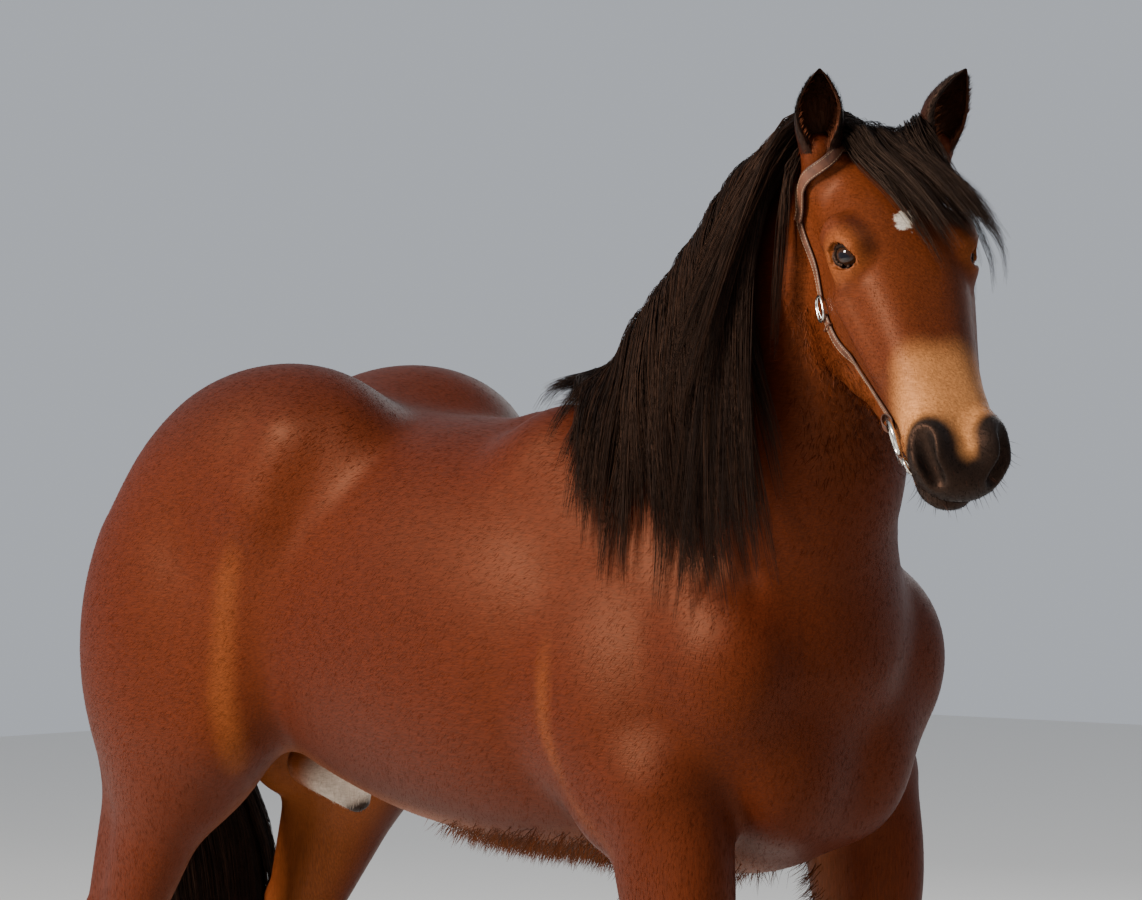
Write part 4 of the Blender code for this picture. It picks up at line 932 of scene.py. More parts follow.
def tufts(name, count, weight, size, width, lift, bend, spread=0.35, lie=body_lie, tone=(0.86, 1.2)):
    """A piece of short tufts, coloured as the skin below them with a little of their own."""
    count = int(count * SHARE)
    roots, normals = scatter(count, weight)
    ways = lie(roots, normals)
    ways = ways + random.normal(size=ways.shape) * spread * 0.5
    grow = random.uniform(0.7, 1.3, count)
    rise = lift * random.uniform(0.6, 1.4, count)
    fall = bend * random.uniform(0.6, 1.4, count)
    length = size(roots) if callable(size) else size
    points, faces, patches = blades(roots, normals, ways, length * grow, width * grow, rise, fall)
    colours = markings_and_painted_light(roots) * random.uniform(*tone, count)[:, None]
    mesh_object(name, points, faces, TUFT, (), np.repeat(colours, 5, axis=0), patches)


def tube_faces(rings, sides, closed=False):
    """Quads between rings of points, one ring after the other."""
    faces = []
    for i in range(rings if closed else rings - 1):
        for j in range(sides):
            k, n = (j + 1) % sides, (i + 1) % rings
            faces.append((i * sides + j, i * sides + k, n * sides + k, n * sides + j))
    return np.array(faces)


def strands(paths, outs, width, thick, number, size, taper=0.15):
    """Closed three-sided hairs that fill each lock: spread over its root, drawn together at its tip."""
    number = int(number * SHARE)
    count, steps, _ = paths.shape
    tangent = units(np.gradient(paths, axis=1))
    side = units(np.cross(tangent, outs))
    up = np.cross(side, tangent)
    t = np.linspace(0, 1, steps)
    u = random.uniform(-1, 1, (count, number, 1))
    v = random.uniform(0, 1, (count, number, 1))
    draw = 1 - taper - (0.75 - taper) * t**2
    stray = random.normal(size=(count, number, 2, 1)) * 0.18 * t**1.5
    waves = random.uniform(5, 9, (count, number, 1))
    wave = 0.05 * np.sin(waves * t + random.uniform(0, 6.3, (count, number, 1)))
    wide = (width * 0.5)[:, None, None] * (u * draw + stray[:, :, 0] + wave)
    high = thick * (v * (0.35 + 0.65 * draw) + np.abs(stray[:, :, 1]) * 0.5)
    line = paths[:, None] + side[:, None] * wide[..., None] + up[:, None] * high[..., None]
    # Each hair ends at its own place along the lock
    reach = random.uniform(0.80, 1.0, (count, number, 1)) * t
    at = reach * (steps - 1)
    low = np.minimum(at.astype(int), steps - 2)
    part = (at - low)[..., None]
    before = np.take_along_axis(line, low[..., None], 2)
    after = np.take_along_axis(line, low[..., None] + 1, 2)
    rows = before * (1 - part) + after * part
    thin = size * random.uniform(0.7, 1.3, (count, number, 1, 1)) * (1 - 0.85 * t**2)[:, None]
    sideways, upwards = side[:, None] * thin, up[:, None] * thin
    points = np.stack((rows - sideways, rows + sideways, rows + upwards * 0.8), 3).reshape(-1, 3)
    per = steps * 3
    first = np.arange(count * number)[:, None] * per
    faces = np.concatenate([first + quad for quad in tube_faces(steps, 3)])
    caps = np.concatenate((first + (2, 1, 0), first + (per - 3, per - 2, per - 1)))
    roots = np.repeat(rows[:, :, 0].reshape(-1, 3), per, axis=0)
    return points, [faces, caps], roots, t


def hair_piece(name, made, tones, replaces=(), out=(0, -1, 0)):
    """A piece of long hair with its colours: mostly dark, with some browner hairs and browner tips."""
    points, faces, roots, t = made
    per = len(t) * 3
    hairs = len(points) // per
    brown = random.random(hairs) ** 3
    base, warm = np.array(tones)
    colours = base + (warm - base) * brown[:, None]
    colours = np.repeat(colours, per, axis=0)
    down = np.tile(np.repeat(t, 3), hairs)
    colours = colours * (0.8 + 0.7 * down[:, None] ** 2)
    local = np.stack((np.tile((-1.5, 0.0, 1.5), len(points) // 3), down * 3), 1) * 0.001
    patches = unwrapped(roots, np.tile(out, (len(roots), 1))) + local
    mesh_object(name, points, faces, LONG, replaces, colours, patches)


def fine(paths, steps):
    """The paths with more points, on smooth curves."""
    old = np.linspace(0, 1, paths.shape[1])
    new = np.linspace(0, 1, steps)
    return np.stack([np.stack([smooth(new, old, path[:, a]) for a in range(3)], 1) for path in paths])


def outs_of(paths):
    """The way out of the flesh at each point of the paths."""
    return outward(paths.reshape(-1, 3)).reshape(paths.shape)


CREST = (
    (0.950, -0.172, 2.02), (0.80, -0.145, 1.99), (0.66, -0.09, 1.90), (0.52, -0.05, 1.79),
    (0.38, -0.03, 1.70), (0.28, -0.02, 1.66), (0.20, -0.02, 1.63),
)
# How much of the hair is made
SHARE = 1.0
# Each lock's height over the flesh, which rises with its layer
LOCK_LIFT, LAYER_LIFT = 0.003, 0.006
# Points along each lock
STEPS = 9
MANE_TONES = ((0.0060, 0.0046, 0.0042), (0.032, 0.015, 0.009))
FORELOCK_TONES = ((0.0060, 0.0046, 0.0042), (0.045, 0.028, 0.020))


def crest(s, sink):
    """Points of the crest from the poll (0) to the end of the mane (1), sunk into it."""
    marks = np.array(CREST)
    at = s * (len(marks) - 1)
    row = np.stack([smooth(at, range(len(marks)), marks[:, a]) for a in range(3)], 1)
    return land(row, -sink)


# Mane
count = 186
layer = np.arange(count) % 5
s = np.sort(random.uniform(0.0, 0.955, count))
roots = crest(s, 0.004) + np.stack((-0.012 * ramp(s, 0.15, 0.0), 0.022 - 0.010 * layer, 0 * s), 1)
lengths = smooth(s, (0, 0.12, 0.4, 0.6, 0.8, 0.955), (0.58, 0.70, 0.66, 0.48, 0.22, 0.05))
reach = lengths * random.uniform(0.70, 1.04, count)
forward = smooth(s, (0, 0.12, 0.3, 0.8, 1), (-0.80, -0.30, 0.12, 0.12, 0.25))
ways = np.stack((forward, -1.0 + 0 * s, 0.34 - 1.1 * s * s), 1)
ways = ways + random.normal(size=ways.shape) * 0.10
sway = np.stack((smooth(s, (0, 0.12, 0.3, 1), (-0.24, -0.04, 0.08, 0.08)), 0 * s, 0 * s), 1)
sway = sway + random.normal(size=sway.shape) * (0.06, 0.0, 0.0)
paths = fine(drape(roots, ways, reach, LOCK_LIFT + LAYER_LIFT * layer, sway=sway), STEPS)
wide = random.uniform(0.035, 0.062, count)
for part in range(3):
    pick = slice(part, None, 3)
    made = strands(paths[pick], outs_of(paths[pick]), wide[pick], 0.018, 54, 0.0009)
    hair_piece(f"mane_locks_{part + 1}", made, MANE_TONES, ("mane",) if part == 0 else ())

# Forelock
count = 76
layer = np.arange(count) % 6
y = random.uniform(-0.085, 0.085, count)
roots = land([head(0.012 - 0.05 * random.random(), v, 0.03) for v in y], 0.002)
ways = np.array([HEAD_AXES.T @ (0.62, 0.16 + 0.4 * random.random(), 0.95) for _ in range(count)])
reach = random.uniform(0.17, 0.31, count)
sway = HEAD_AXES[1] * (0.13 + 0.13 * random.random((count, 1))) + HEAD_AXES[0] * 0.34
sway = sway + random.normal(size=(count, 3)) * 0.05
paths = fine(drape(roots, ways, reach, LOCK_LIFT + LAYER_LIFT * layer, sway=sway, stiff=0.68), STEPS)
made = strands(paths, outs_of(paths), random.uniform(0.026, 0.056, count), 0.016, 52, 0.0006)
hair_piece("forelock_locks", made, FORELOCK_TONES, ("forelock",), HEAD_AXES[2])

# Tail: its height, then the middle and the half width of the fall, lengthwise and across
TAIL = (
    (1.52, 1.36, 1.20, 1.02, 0.84, 0.64, 0.45),
    (-0.885, -0.948, -0.962, -0.968, -0.966, -0.960, -0.955),
    (0.0, 0.0, 0.01, 0.035, 0.085, 0.115, 0.13),
    (0.022, 0.030, 0.042, 0.054, 0.062, 0.052, 0.030),
    (0.026, 0.040, 0.076, 0.118, 0.165, 0.162, 0.105),
)
count = 84
paths, outs = [], []
for i in range(count):
    turn = 2.4 * i
    full = (1.0, 0.8, 0.55)[i % 3]
    top = 1.535 - 0.42 * ((i * 0.618) % 1)
    z = np.linspace(top, 0.46 * random.uniform(0.98, 1.26), STEPS)
    fan = np.clip((top - z) / 0.15, 0.45, 1) * full
    x, y, half_x, half_y = (smooth(-z, [-h for h in TAIL[0]], row) for row in TAIL[1:])
    path = np.stack((x + half_x * fan * math.cos(turn), y + half_y * fan * math.sin(turn), z), 1)
    paths.append(np.where((depth(path) < 0.004)[:, None], land(path, 0.004), path))
    outs.append(np.tile(unit((math.cos(turn) / 0.06, math.sin(turn) / 0.14, 0.0)), (STEPS, 1)))
paths, outs = np.array(paths), np.array(outs)
for part in range(2):
    pick = slice(part, None, 2)
    made = strands(paths[pick], outs[pick], random.uniform(0.05, 0.08, count // 2), 0.014, 66, 0.00125)
    hair_piece(f"tail_locks_{part + 1}", made, MANE_TONES, ("tail",) if part == 0 else (), (-1, 0, 0))

# Short coat
m = SKIN_MIDDLES
local = in_head(m)
on_head = head_share(m)
clear_of_eyes = np.ones(len(m))
for side in (LEFT, RIGHT):
    clear_of_eyes *= ramp(from_eye(m, side), 0.026, 0.036)
body = (1 - on_head) * (m[:, 2] > 0.11)
# The side that the camera sees gets three times the fine coat
seen_side = 1 + 2 * (m[:, 1] < 0)
COAT_TONE = (0.92, 1.16)


def body_size(p):
    return 0.013 + 0.004 * ramp(p[:, 2], 0.45, 0.25)


def face_size(p):
    return 0.0055 + 0.004 * ramp(in_head(p)[:, 2], -0.22, -0.34)


tufts("coat_body", 60000, body, body_size, 0.0005, 0.04, 0.02, tone=COAT_TONE)
tufts("coat_body_fine", 60000, body * seen_side, body_size, 0.0004, 0.05, 0.03, tone=COAT_TONE)
face = on_head * clear_of_eyes * (local[:, 0] < 0.90)
tufts("coat_face", 40000, face, face_size, 0.00034, 0.07, 0.04, tone=COAT_TONE)

# Longer fuzz: girth, jaw, behind the fetlocks, round the hooves.  No weight is quite zero
TRACE = 1e-9
girth = ramp(np.abs(m[:, 1]), 0.26, 0.16) * ramp(m[:, 2], 0.93, 0.89)
girth = girth * ramp(m[:, 0], -0.12, 0.05) * ramp(m[:, 0], 0.62, 0.45)
tufts("fuzz_girth", 9000, girth + TRACE, 0.030, 0.0007, 0.45, -0.10, 0.7,
      one_way((-0.6, 0, -0.9), 0.4), (0.30, 0.8))
jaw = on_head * ramp(local[:, 2], -0.27, -0.36) * (local[:, 0] < 0.80)
tufts("fuzz_jaw", 5000, jaw + TRACE, 0.014, 0.0005, 0.4, -0.05, 0.6, tone=(0.6, 1.3))
fetlock = ramp(m[:, 2], 0.31, 0.26) * ramp(m[:, 2], 0.10, 0.13)
behind = np.zeros(len(m))
for group in (FORELEG, HINDLEG):
    for side in (LEFT, RIGHT):
        x, y = group[side]
        behind += (np.abs(m[:, 0] - x) < 0.16) * (np.abs(m[:, 1] - y) < 0.12) * ramp(m[:, 0] - x, 0.03, -0.03)
tufts("feather", 9000, fetlock * behind + TRACE, 0.045, 0.0007, 0.30, 0.10, 0.45,
      one_way((-0.25, 0, -1.0)), (0.8, 1.6))
fringe = ramp(m[:, 2], 0.155, 0.12) * (m[:, 2] > 0.075)
tufts("coronet_fringe", 7000, fringe + TRACE, 0.026, 0.0006, 0.20, 0.06, 0.4,
      one_way((0.25, 0, -1.0)), (0.8, 1.6))


# Ears: rows up the ear, and points round the outside of each, which the inside has too
EAR_ROWS, EAR_ARC = 26, 15


def ear_shell(side):
    """Points, faces and tones of a cupped ear: each row runs round the outside and back along the inside."""
    base, axis, faces, across = ear_frame(side)
    points, tones = [], []
    for i in range(EAR_ROWS):
        t = i / (EAR_ROWS - 1)
        half = EAR_WIDTH / 2 * smooth(t, (0, 0.22, 0.45, 0.75, 0.93, 1), (0.84, 0.97, 0.97, 0.62, 0.24, 0.05))
        gap = math.radians(smooth(t, (0, 0.15, 0.4, 0.8, 1), (14, 30, 62, 82, 88)))
        wall = smooth(t, (0, 0.2, 0.5, 1), (0.45, 0.20, 0.11, 0.30))
        middle = base + axis * (-0.012 + t * (EAR_LENGTH + 0.012)) - faces * 0.010 * math.sin(math.pi * t)
        middle = middle - across * side * 0.010 * t * t
        for shell in (1, 1 - wall):
            turn = np.linspace(gap, 2 * math.pi - gap, EAR_ARC)
            for angle in turn if shell == 1 else turn[::-1]:
                spoke = faces * math.cos(angle) * 0.85 + across * math.sin(angle)
                points.append(middle + spoke * half * shell)
                rim = abs(angle - math.pi) / (math.pi - gap)
                dark = np.clip(0.25 + 0.9 * t + 0.5 * (rim > 0.85), 0, 1)
                outer = BAY * 0.55 * (1 - dark) + BLACK * dark
                # Inside of the cup: darker towards the tip, and painted shade that darkens it towards the
                # deep back of the cup
                inner = np.array((0.075, 0.022, 0.010)) * (1 - 0.85 * t) * (0.25 + 0.75 * rim * rim)
                tones.append(outer if shell == 1 else inner)
    ring = 2 * EAR_ARC
    last = (EAR_ROWS - 1) * ring
    tip = [(last + j, last + j + 1, last + ring - 2 - j) for j in range(EAR_ARC - 1)]
    return np.array(points), [tube_faces(EAR_ROWS, ring), np.array(tip)], np.array(tones), ring


for name, side in NAMED_SIDES:
    points, faces, tones, ring = ear_shell(side)
    mesh_object("ear_skin_" + name, points, faces, COAT, ("ear_" + name,), tones)
    base, axis, facing, across = ear_frame(side)
    walls = faces[0][faces[0][:, 0] // ring < 22]
    count = int(3600 * SHARE)
    chosen = walls[random.integers(0, len(walls), count)]
    r, s = random.random((2, count, 1))
    corner = points[chosen]
    lower = corner[:, 0] * (1 - r) + corner[:, 1] * r
    upper = corner[:, 3] * (1 - r) + corner[:, 2] * r
    roots = lower * (1 - s) + upper * s
    flat = units(np.cross(corner[:, 1] - corner[:, 0], corner[:, 3] - corner[:, 0]))
    row, step = np.divmod(chosen[:, 0], ring)
    rim = (np.abs(step - EAR_ARC + 0.5) < 2.5) | (step < 2) | (step > ring - 3)
    deep = (step >= EAR_ARC) & (step < ring - 1) & (row < 12)
    length = np.where(rim, 0.011, np.where(deep, 0.016, 0.006)) * random.uniform(0.7, 1.3, count)
    ways = axis * 0.9 + np.where(deep[:, None], facing * 0.7 + flat * 0.2, flat * 0.1)
    ways = ways + random.normal(size=(count, 3)) * 0.15
    made, shapes, patches = blades(roots, flat, ways, length, 0.0005, 0.25, 0.04)
    # The fuzz takes the tones of the shell at its root, the painted shade of the cup among them
    tones = tones[chosen[:, 0]] * np.where(deep, 1.7, 1.1)[:, None] * random.uniform(0.7, 1.3, (count, 1))
    mesh_object("ear_fuzz_" + name, made, shapes, TUFT, (), np.repeat(tones, 5, axis=0), patches)


# Eyes
EYE_ROWS, EYE_SEGMENTS = 40, 48
LASHES = 46
for name, side in NAMED_SIDES:
    eye, look, inner = eye_place(side)
    above = np.cross(look, inner)
    above = above if above @ HEAD_AXES[2] > 0 else -above
    rows, segments = EYE_ROWS, EYE_SEGMENTS
    polar = np.linspace(0, math.pi, rows + 1)[1:-1]
    turn = np.linspace(0, 2 * math.pi, segments, endpoint=False)
    grid_p, grid_t = np.meshgrid(polar, turn, indexing="ij")
    ways = (look * np.cos(grid_p)[..., None] + inner * (np.sin(grid_p) * np.cos(grid_t))[..., None]
            + above * (np.sin(grid_p) * np.sin(grid_t))[..., None]).reshape(-1, 3)
    ways = np.concatenate((ways, [look, -look]))
    index = np.arange((rows - 1) * segments).reshape(rows - 1, segments)
    nxt = np.roll(index, -1, axis=1)
    quads_ = np.stack((index[:-1], index[1:], nxt[1:], nxt[:-1]), -1).reshape(-1, 4)
    front = np.stack((np.full(segments, len(ways) - 2), index[0], nxt[0]), 1)
    back = np.stack((np.full(segments, len(ways) - 1), nxt[-1], index[-1]), 1)
    if np.linalg.det(np.array((inner, above, look))) < 0:
        quads_, front, back = quads_[:, ::-1], front[:, ::-1], back[:, ::-1]
    a, b, c = ways @ inner, ways @ above, ways @ look
    pupil = ramp(np.hypot(a / 0.42, b / 0.22), 1.15, 0.9)
    iris = ramp(np.hypot(a / 0.80, b / 0.74), 1.08, 0.92) * (c > 0)
    tones = np.tile((0.010, 0.006, 0.005), (len(ways), 1))
    tones = paint(tones, iris, (0.020, 0.008, 0.004))
    tones = paint(tones, pupil * (c > 0), (0.004, 0.004, 0.006))
    faces = [quads_, front, back]
    mesh_object("eyeball_" + name, eye + ways * (EYE + 0.0002), faces, WET, ("eye_" + name,), tones)
    upper = np.array(list(lids(side, EYE + 0.0055))[1:7])
    at = random.uniform(0, 5, LASHES)
    before = np.minimum(at.astype(int), 4)
    part = (at - before)[:, None]
    roots = upper[before] * (1 - part) + upper[before + 1] * part
    ways = units(look * 0.75 + above * 0.25 - inner * 0.15 + random.normal(size=(LASHES, 3)) * 0.12)
    normal = np.tile(unit(np.cross(ways[0], inner)), (LASHES, 1))
    length = random.uniform(0.012, 0.021, LASHES)
    made, shapes, patches = blades(roots, normal, ways, length, 0.00045, 0.1, 0.12)
    mesh_object("lashes_" + name, made, shapes, LONG, (), np.tile(BLACK, (len(made), 1)), patches)

# Whiskers and feelers of lips and chin, and the short hair of the muzzle
lips = on_head * (local[:, 0] > 0.82) * (local[:, 2] < -0.12)
roots, normals = scatter(int(160 * SHARE), lips + TRACE)
length = random.uniform(0.007, 0.020, len(roots))
made, shapes, patches = blades(roots, normals, normals + HEAD_AXES[0] * 0.6, length, 0.00035, 1.0, 0.1)
mesh_object("whiskers", made, shapes, LONG, (), np.tile(SOOT, (len(made), 1)), patches)
muzzle = on_head * (local[:, 0] >= 0.80)
tufts("coat_muzzle", 7000, muzzle + TRACE, 0.0036, 0.0003, 0.3, 0.03, 0.5)

# Hooves: rings from the middle of the sole to the middle of the top, with their heights and sizes as shares
HOOF_SEGMENTS = 64
HOOF_HEIGHTS = (0.0, 0.0, 0.004, 0.02, 0.2, 0.4, 0.6, 0.78, 0.90, 0.96, 1.0, 1.0)
HOOF_SIZES = (0.0, 0.965, 1.0, 1.0, 1.0, 1.0, 1.0, 1.0, 1.0, 1.02, 1.0, 0.0)
for place_name, group in (("fore", FORELEG), ("hind", HINDLEG)):
    for name, side in NAMED_SIDES:
        x, y = group[side]
        point, up = coronet(x)
        points, tones = [], []
        for height, size in zip(HOOF_HEIGHTS, HOOF_SIZES):
            for i in range(HOOF_SEGMENTS):
                angle = 2 * math.pi * i / HOOF_SEGMENTS
                cs, sn = math.cos(angle), math.sin(angle)
                heel = 0.86 if cs < 0 else 1.0
                sole_x = x + 0.095 + HOOF_LENGTH / 2 * size * cs * heel
                sole = np.array((sole_x, y + HOOF_WIDTH / 2 * size * sn, 0))
                top = np.array((x + 0.060 + 0.0675 * size * cs, y + 0.0655 * size * sn, 0))
                top[2] = point[2] - up[0] / up[2] * (top[0] - point[0])
                lift = 0.004 if 0 < height < 0.01 else 0.0
                spot = sole * (1 - height) + top * height
                spot[2] = max(spot[2], lift)
                points.append(spot)
                dark = np.array((0.045, 0.038, 0.032)) * (0.8 + 0.5 * height)
                tones.append(dark * (1 - 0.25 * (height < 0.05)))
        shell = [tube_faces(len(HOOF_HEIGHTS), HOOF_SEGMENTS)]
        foot = f"{place_name}_{name}"
        mesh_object("horn_" + foot, np.array(points), shell, HORN, ("hoof_" + foot,), np.array(tones))


# Headstall and bit
HIDE = np.array((0.085, 0.030, 0.015))


def along(points, count):
    """A smooth path of count points through the given ones."""
    points = np.asarray(points, float)
    s = np.linspace(0, len(points) - 1, count)
    return np.stack([smooth(s, range(len(points)), points[:, a]) for a in range(3)], axis=1)


STRAP_PROFILE = (
    (-1.0, -0.7), (-1.0, 0.45), (-0.93, 0.82), (-0.80, 0.95), (-0.72, 0.86), (-0.62, 0.98), (0.62, 0.98),
    (0.72, 0.86), (0.80, 0.95), (0.93, 0.82), (1.0, 0.45), (1.0, -0.7), (0.0, -0.8),
)
# Length of a stitch, the step from one to the next, and the radius of the thread
STITCH, STITCH_STEP, THREAD = 0.0032, 0.0050, 0.0006


def strap(name, path, width, thick, replaces=(), stitched=True, outs=None):
    """A flat strap with rounded, burnished edges and a row of stitches along each."""
    outs = outward(path) if outs is None else outs
    side = units(np.cross(np.gradient(path, axis=0), outs))
    profile = np.array(STRAP_PROFILE)
    rings = (path[:, None] + side[:, None] * (profile[:, :1] * width / 2)
             + outs[:, None] * ((profile[:, 1:] * 0.5 + 0.45) * thick))
    n = len(profile)
    ends = np.stack((rings[0].mean(0), rings[-1].mean(0)))
    points = np.concatenate((rings.reshape(-1, 3), ends))
    last = (len(path) - 1) * n
    caps = [(len(points) - 2, (j + 1) % n, j) for j in range(n)]
    caps += [(len(points) - 1, last + j, last + (j + 1) % n) for j in range(n)]
    edge = np.where(np.abs(profile[:, 0]) > 0.9, 0.55, 1.0)
    tones = np.concatenate((np.tile(HIDE * edge[:, None], (len(path), 1)), np.tile(HIDE * 0.5, (2, 1))))
    mesh_object(name, points, [tube_faces(len(path), n), np.array(caps)], LEATHER, replaces, tones)
    if not stitched:
        return
    length = np.concatenate(([0], np.cumsum(np.linalg.norm(np.diff(path, axis=0), axis=1))))
    marks = np.arange(0.006, length[-1] - 0.004, STITCH_STEP)
    spots, walls = [], []
    for row in (-0.72, 0.72):
        for mark in marks:
            base = len(spots)
            for s in (mark, mark + STITCH):
                end = np.array([np.interp(s, length, values) for values in (*path.T, *side.T, *outs.T)])
                centre = end[:3] + end[3:6] * row * width / 2 + end[6:] * (0.90 * thick)
                for ds, du in ((-1, -0.4), (0, 0.8), (1, -0.4)):
                    spots.append(centre + end[3:6] * ds * THREAD + end[6:] * du * THREAD)
            walls += [(base, base + 1, base + 4, base + 3), (base + 1, base + 2, base + 5, base + 4),
                      (base + 2, base, base + 3, base + 5)]
    thread = np.tile((0.30, 0.20, 0.12), (len(spots), 1))
    mesh_object(name + "_stitches", np.array(spots), [np.array(walls)], LEATHER, (), thread)


WIRE_SIDES = 12


def wire(name, path, thick, replaces=(), closed=True, finish=STEEL, tone=(0.62, 0.60, 0.56)):
    """Round stock that follows the path."""
    path = np.asarray(path, float)
    ahead = np.roll(path, -1, axis=0) - np.roll(path, 1, axis=0) if closed else np.gradient(path, axis=0)
    ahead = units(ahead)
    spoke = units(np.cross(ahead, unit(np.cross(path[1] - path[0], path[2] - path[1]) + 1e-9)))
    normal = np.cross(ahead, spoke)
    turn = np.linspace(0, 2 * math.pi, WIRE_SIDES, endpoint=False)[:, None]
    rings = path[:, None] + (spoke[:, None] * np.cos(turn) - normal[:, None] * np.sin(turn)) * thick
    points, faces = rings.reshape(-1, 3), [tube_faces(len(path), WIRE_SIDES, closed)]
    if not closed:
        last = (len(path) - 1) * WIRE_SIDES
        faces.append(np.array([tuple(range(WIRE_SIDES))[::-1], tuple(range(last, last + WIRE_SIDES))]))
    mesh_object(name, points, faces, finish, replaces, np.tile(tone, (len(points), 1)))


def ring_path(centre, first, second, radii, count=48, power=1.0):
    """A closed loop, squarer with a lower power."""
    a = np.linspace(0, 2 * math.pi, count, endpoint=False)
    c, s = np.cos(a), np.sin(a)
    c, s = np.sign(c) * np.abs(c) ** power, np.sign(s) * np.abs(s) ** power
    return centre + unit(first) * radii[0] * c[:, None] + unit(second) * radii[1] * s[:, None]


# Width of the straps, then marks on the head in parts of its length, for the left side
STRAP = 0.016
CHEEK = (
    (0.02, 0.185, -0.10), (0.075, 0.19, -0.15), (0.14, 0.18, -0.185), (0.21, 0.18, -0.215),
    (0.27, 0.18, -0.24),
)
LOWER_CHEEK = (
    (0.315, 0.18, -0.255), (0.40, 0.16, -0.272), (0.51, 0.14, -0.270), (0.61, 0.12, -0.258),
    (0.705, 0.12, -0.243),
)
BUCKLE = (0.292, 0.17, -0.248)
KEEPER = (0.345, 0.175, -0.262)
BIT = (0.765, 0.13, -0.236)
MOUTH = (0.858, 0.13, -0.236)
CROWN = (
    (0.088, -0.19, -0.158), (0.062, -0.175, -0.085), (0.045, -0.13, -0.005), (0.015, -0.06, 0.03),
    (-0.015, 0.02, 0.035), (-0.045, 0.09, 0.02), (-0.05, 0.15, -0.02), (-0.02, 0.185, -0.07),
    (0.02, 0.185, -0.10),
)
CHIN = (
    (0.80, 0.13, -0.27), (0.79, 0.09, -0.31), (0.785, 0.0, -0.325), (0.79, -0.09, -0.31),
    (0.80, -0.13, -0.27),
)


def spot_of(mark, side):
    """The point of a mark, mirrored for the right side."""
    return head(mark[0], mark[1] * side, mark[2])


def laid(marks, count, lift, side=LEFT):
    """A smooth path of count points through the marks, laid on the flesh."""
    return land(along([spot_of(mark, side) for mark in marks], count), lift)


def flat_axes(spot, toward):
    """The way out of the flesh at the spot, the way along it that toward points, and the way across both."""
    out = outward(spot)[0]
    run = unit(toward - out * (toward @ out))
    return out, run, np.cross(out, run)


path = laid(CROWN, 60, 0.0012)
path = path + outward(path) * (0.0040 * ramp(np.arange(60.0), 20.0, 12.0))[:, None]
strap("crownpiece", path, STRAP * 1.2, 0.0035)
for name, side in NAMED_SIDES:
    strap("cheekpiece_" + name, laid(CHEEK, 36, 0.001, side), STRAP * 0.8, 0.0034, ("cheek_strap_" + name,))
    path = laid(LOWER_CHEEK, 60, 0.001, side)
    strap("lower_cheekpiece_" + name, path, STRAP * 1.1, 0.0034, ("lower_strap_" + name,))
    spot = land(spot_of(BUCKLE, side), 0.007)[0]
    facing, run, across = flat_axes(spot, unit(spot_of(LOWER_CHEEK[0], side) - spot_of(CHEEK[-1], side)))
    loop = ring_path(spot, run, across, (0.019, 0.014), power=0.7)
    wire("buckle_frame_" + name, loop, 0.0022, ("buckle_" + name,))
    tongue = along([spot - run * 0.018, spot + facing * 0.003, spot + run * 0.019], 14)
    wire("buckle_tongue_" + name, tongue, 0.0013, closed=False)
    keep = land(spot_of(KEEPER, side), 0.0035)[0]
    loop = ring_path(keep, across, outward(keep)[0], (0.0105, 0.0042), 32, 0.5)
    wire("keeper_" + name, loop, 0.0014, finish=LEATHER, tone=HIDE)
    spot = land(spot_of(BIT, side), 0.009)[0]
    facing, run, across = flat_axes(spot, FACE)
    loop = ring_path(spot, run, across, (0.032, 0.032))
    wire("bit_loose_ring_" + name, loop, 0.0036, ("bit_ring_" + name,))
    turn = np.linspace(-2.7, 2.7, 24)[:, None]
    hang = spot - run * 0.0405 + facing * 0.001 - (run * np.cos(turn) * 0.0125)
    hang = hang + facing * np.sin(turn) * 0.0062
    bend_out = -run * np.cos(turn) + facing * np.sin(turn)
    strap("bit_hanger_" + name, hang, STRAP * 0.85, 0.0026, outs=bend_out, stitched=False)
    mouth = land(spot_of(MOUTH, side), 0.005)[0]
    out, way, over = flat_axes(mouth, FACE)
    loop = ring_path(mouth, way, over, (0.013, 0.013))
    wire("curb_loose_ring_" + name, loop, 0.0024, ("curb_ring_" + name,))
    link = along([spot + run * 0.030, (spot + mouth) / 2 + out * 0.004, mouth - way * 0.011], 24)
    strap("curb_link_" + name, link, 0.010, 0.0026, outs=np.tile(out, (24, 1)), stitched=False)
    bar = along([mouth, head(0.862, 0.08 * side, -0.222), head(0.862, 0.02 * side, -0.21)], 16)
    wire("mouthpiece_" + name, bar, 0.005, closed=False)
strap("curb_strap", laid(CHIN, 44, 0.0012), 0.013, 0.003)

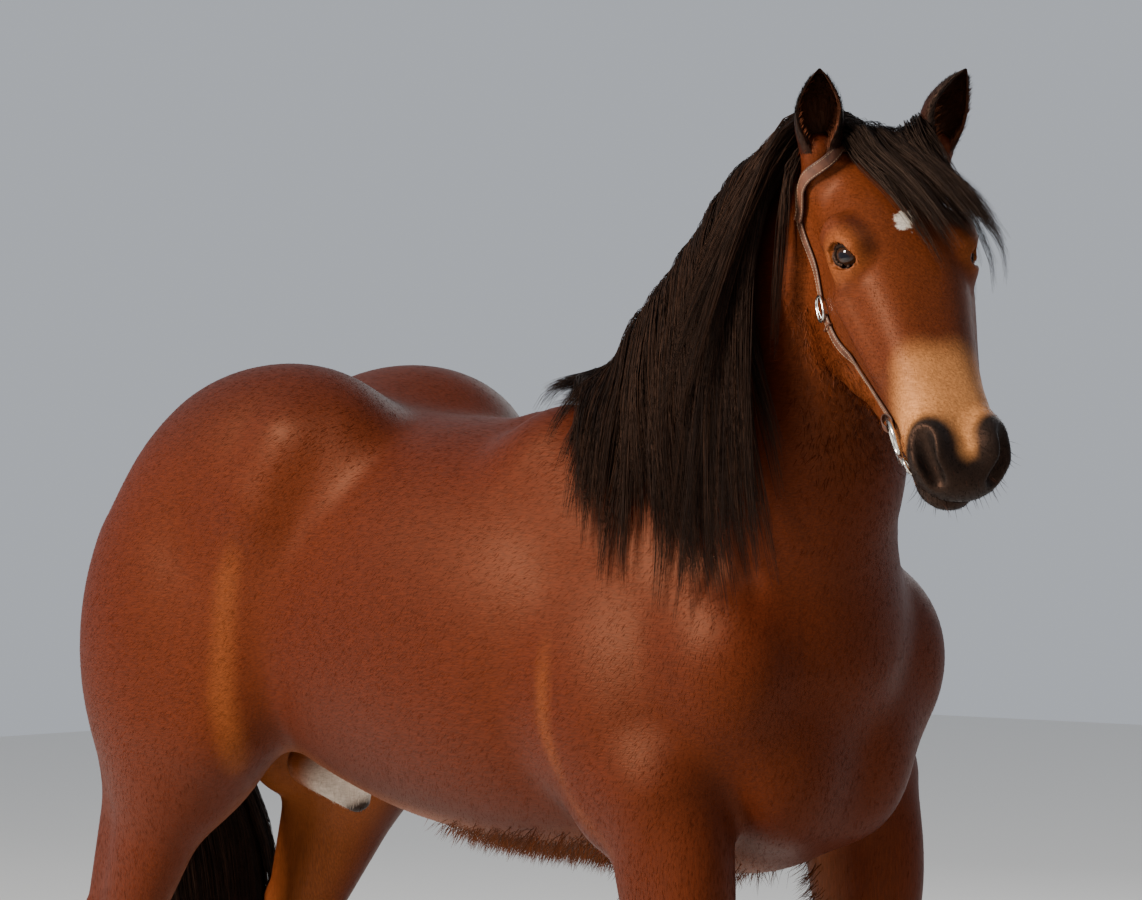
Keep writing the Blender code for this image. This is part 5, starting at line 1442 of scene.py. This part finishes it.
# Floor, light and camera
floor = bpy.data.meshes.new("floor")
floor.from_pydata([(-14, -14, 0), (14, -14, 0), (14, 14, 0), (-14, 14, 0)], [], [(0, 1, 2, 3)])
ground = bpy.data.objects.new("floor", floor)
bpy.context.scene.collection.objects.link(ground)
slot, _, shader = material("pale_floor", 0.85, specular=0.2)
shader.inputs["Base Color"].default_value = (0.74, 0.73, 0.71, 1)
floor.materials.append(slot)

world = bpy.data.worlds.new("studio")
world.use_nodes = True
world.node_tree.nodes["Background"].inputs["Color"].default_value = (0.84, 0.89, 0.97, 1)
world.node_tree.nodes["Background"].inputs["Strength"].default_value = 0.54
bpy.context.scene.world = world


def area(name, spot, aim, size, power, tone=(1, 1, 1)):
    data = bpy.data.lights.new(name, "AREA")
    data.size, data.energy, data.color = size, power, tone
    obj = bpy.data.objects.new(name, data)
    obj.location = spot
    obj.rotation_euler = (Vector(aim) - Vector(spot)).to_track_quat("-Z", "Y").to_euler()
    bpy.context.scene.collection.objects.link(obj)


area("key", (-1.7, -6.9, 5.6), (0.1, 0, 1.2), 1.6, 1750, (1.0, 0.94, 0.84))
area("fill", (6.0, -4.0, 3.0), (0.2, 0, 1.2), 4.0, 30, (0.88, 0.93, 1.0))
area("back", (-2.0, 6.0, 4.5), (0.2, 0, 1.3), 4.0, 120)

# Camera: turn about the horse, roll, distance, step to the right and height, then lens and photo in pixels
TURN, ROLL = math.radians(45.4), math.radians(-0.5)
DISTANCE, SIDEWAYS, EYE_HEIGHT = 7.21, 0.101, 1.53
FOCAL, HORIZON, PHOTO_WIDTH, PHOTO_HEIGHT = 4218.0, 458.0, 1142, 900
SENSOR = 36
right = np.array((math.cos(TURN), math.sin(TURN), 0))
back = np.array((math.sin(TURN), -math.cos(TURN), 0))
pitch = math.atan((HORIZON - PHOTO_HEIGHT / 2) / FOCAL)
view = Vector(-back * math.cos(pitch) + np.array((0, 0, math.sin(pitch))))
camera = bpy.data.objects.new("camera", bpy.data.cameras.new("camera"))
camera.data.lens = FOCAL * SENSOR / PHOTO_WIDTH
camera.data.sensor_width = SENSOR
camera.location = right * SIDEWAYS + back * DISTANCE + np.array((0, 0, EYE_HEIGHT)) - MIDDLE
camera.rotation_euler = (view.to_track_quat("-Z", "Y").to_matrix() @ Matrix.Rotation(ROLL, 3, "Z")).to_euler()
bpy.context.scene.collection.objects.link(camera)
bpy.context.scene.camera = camera
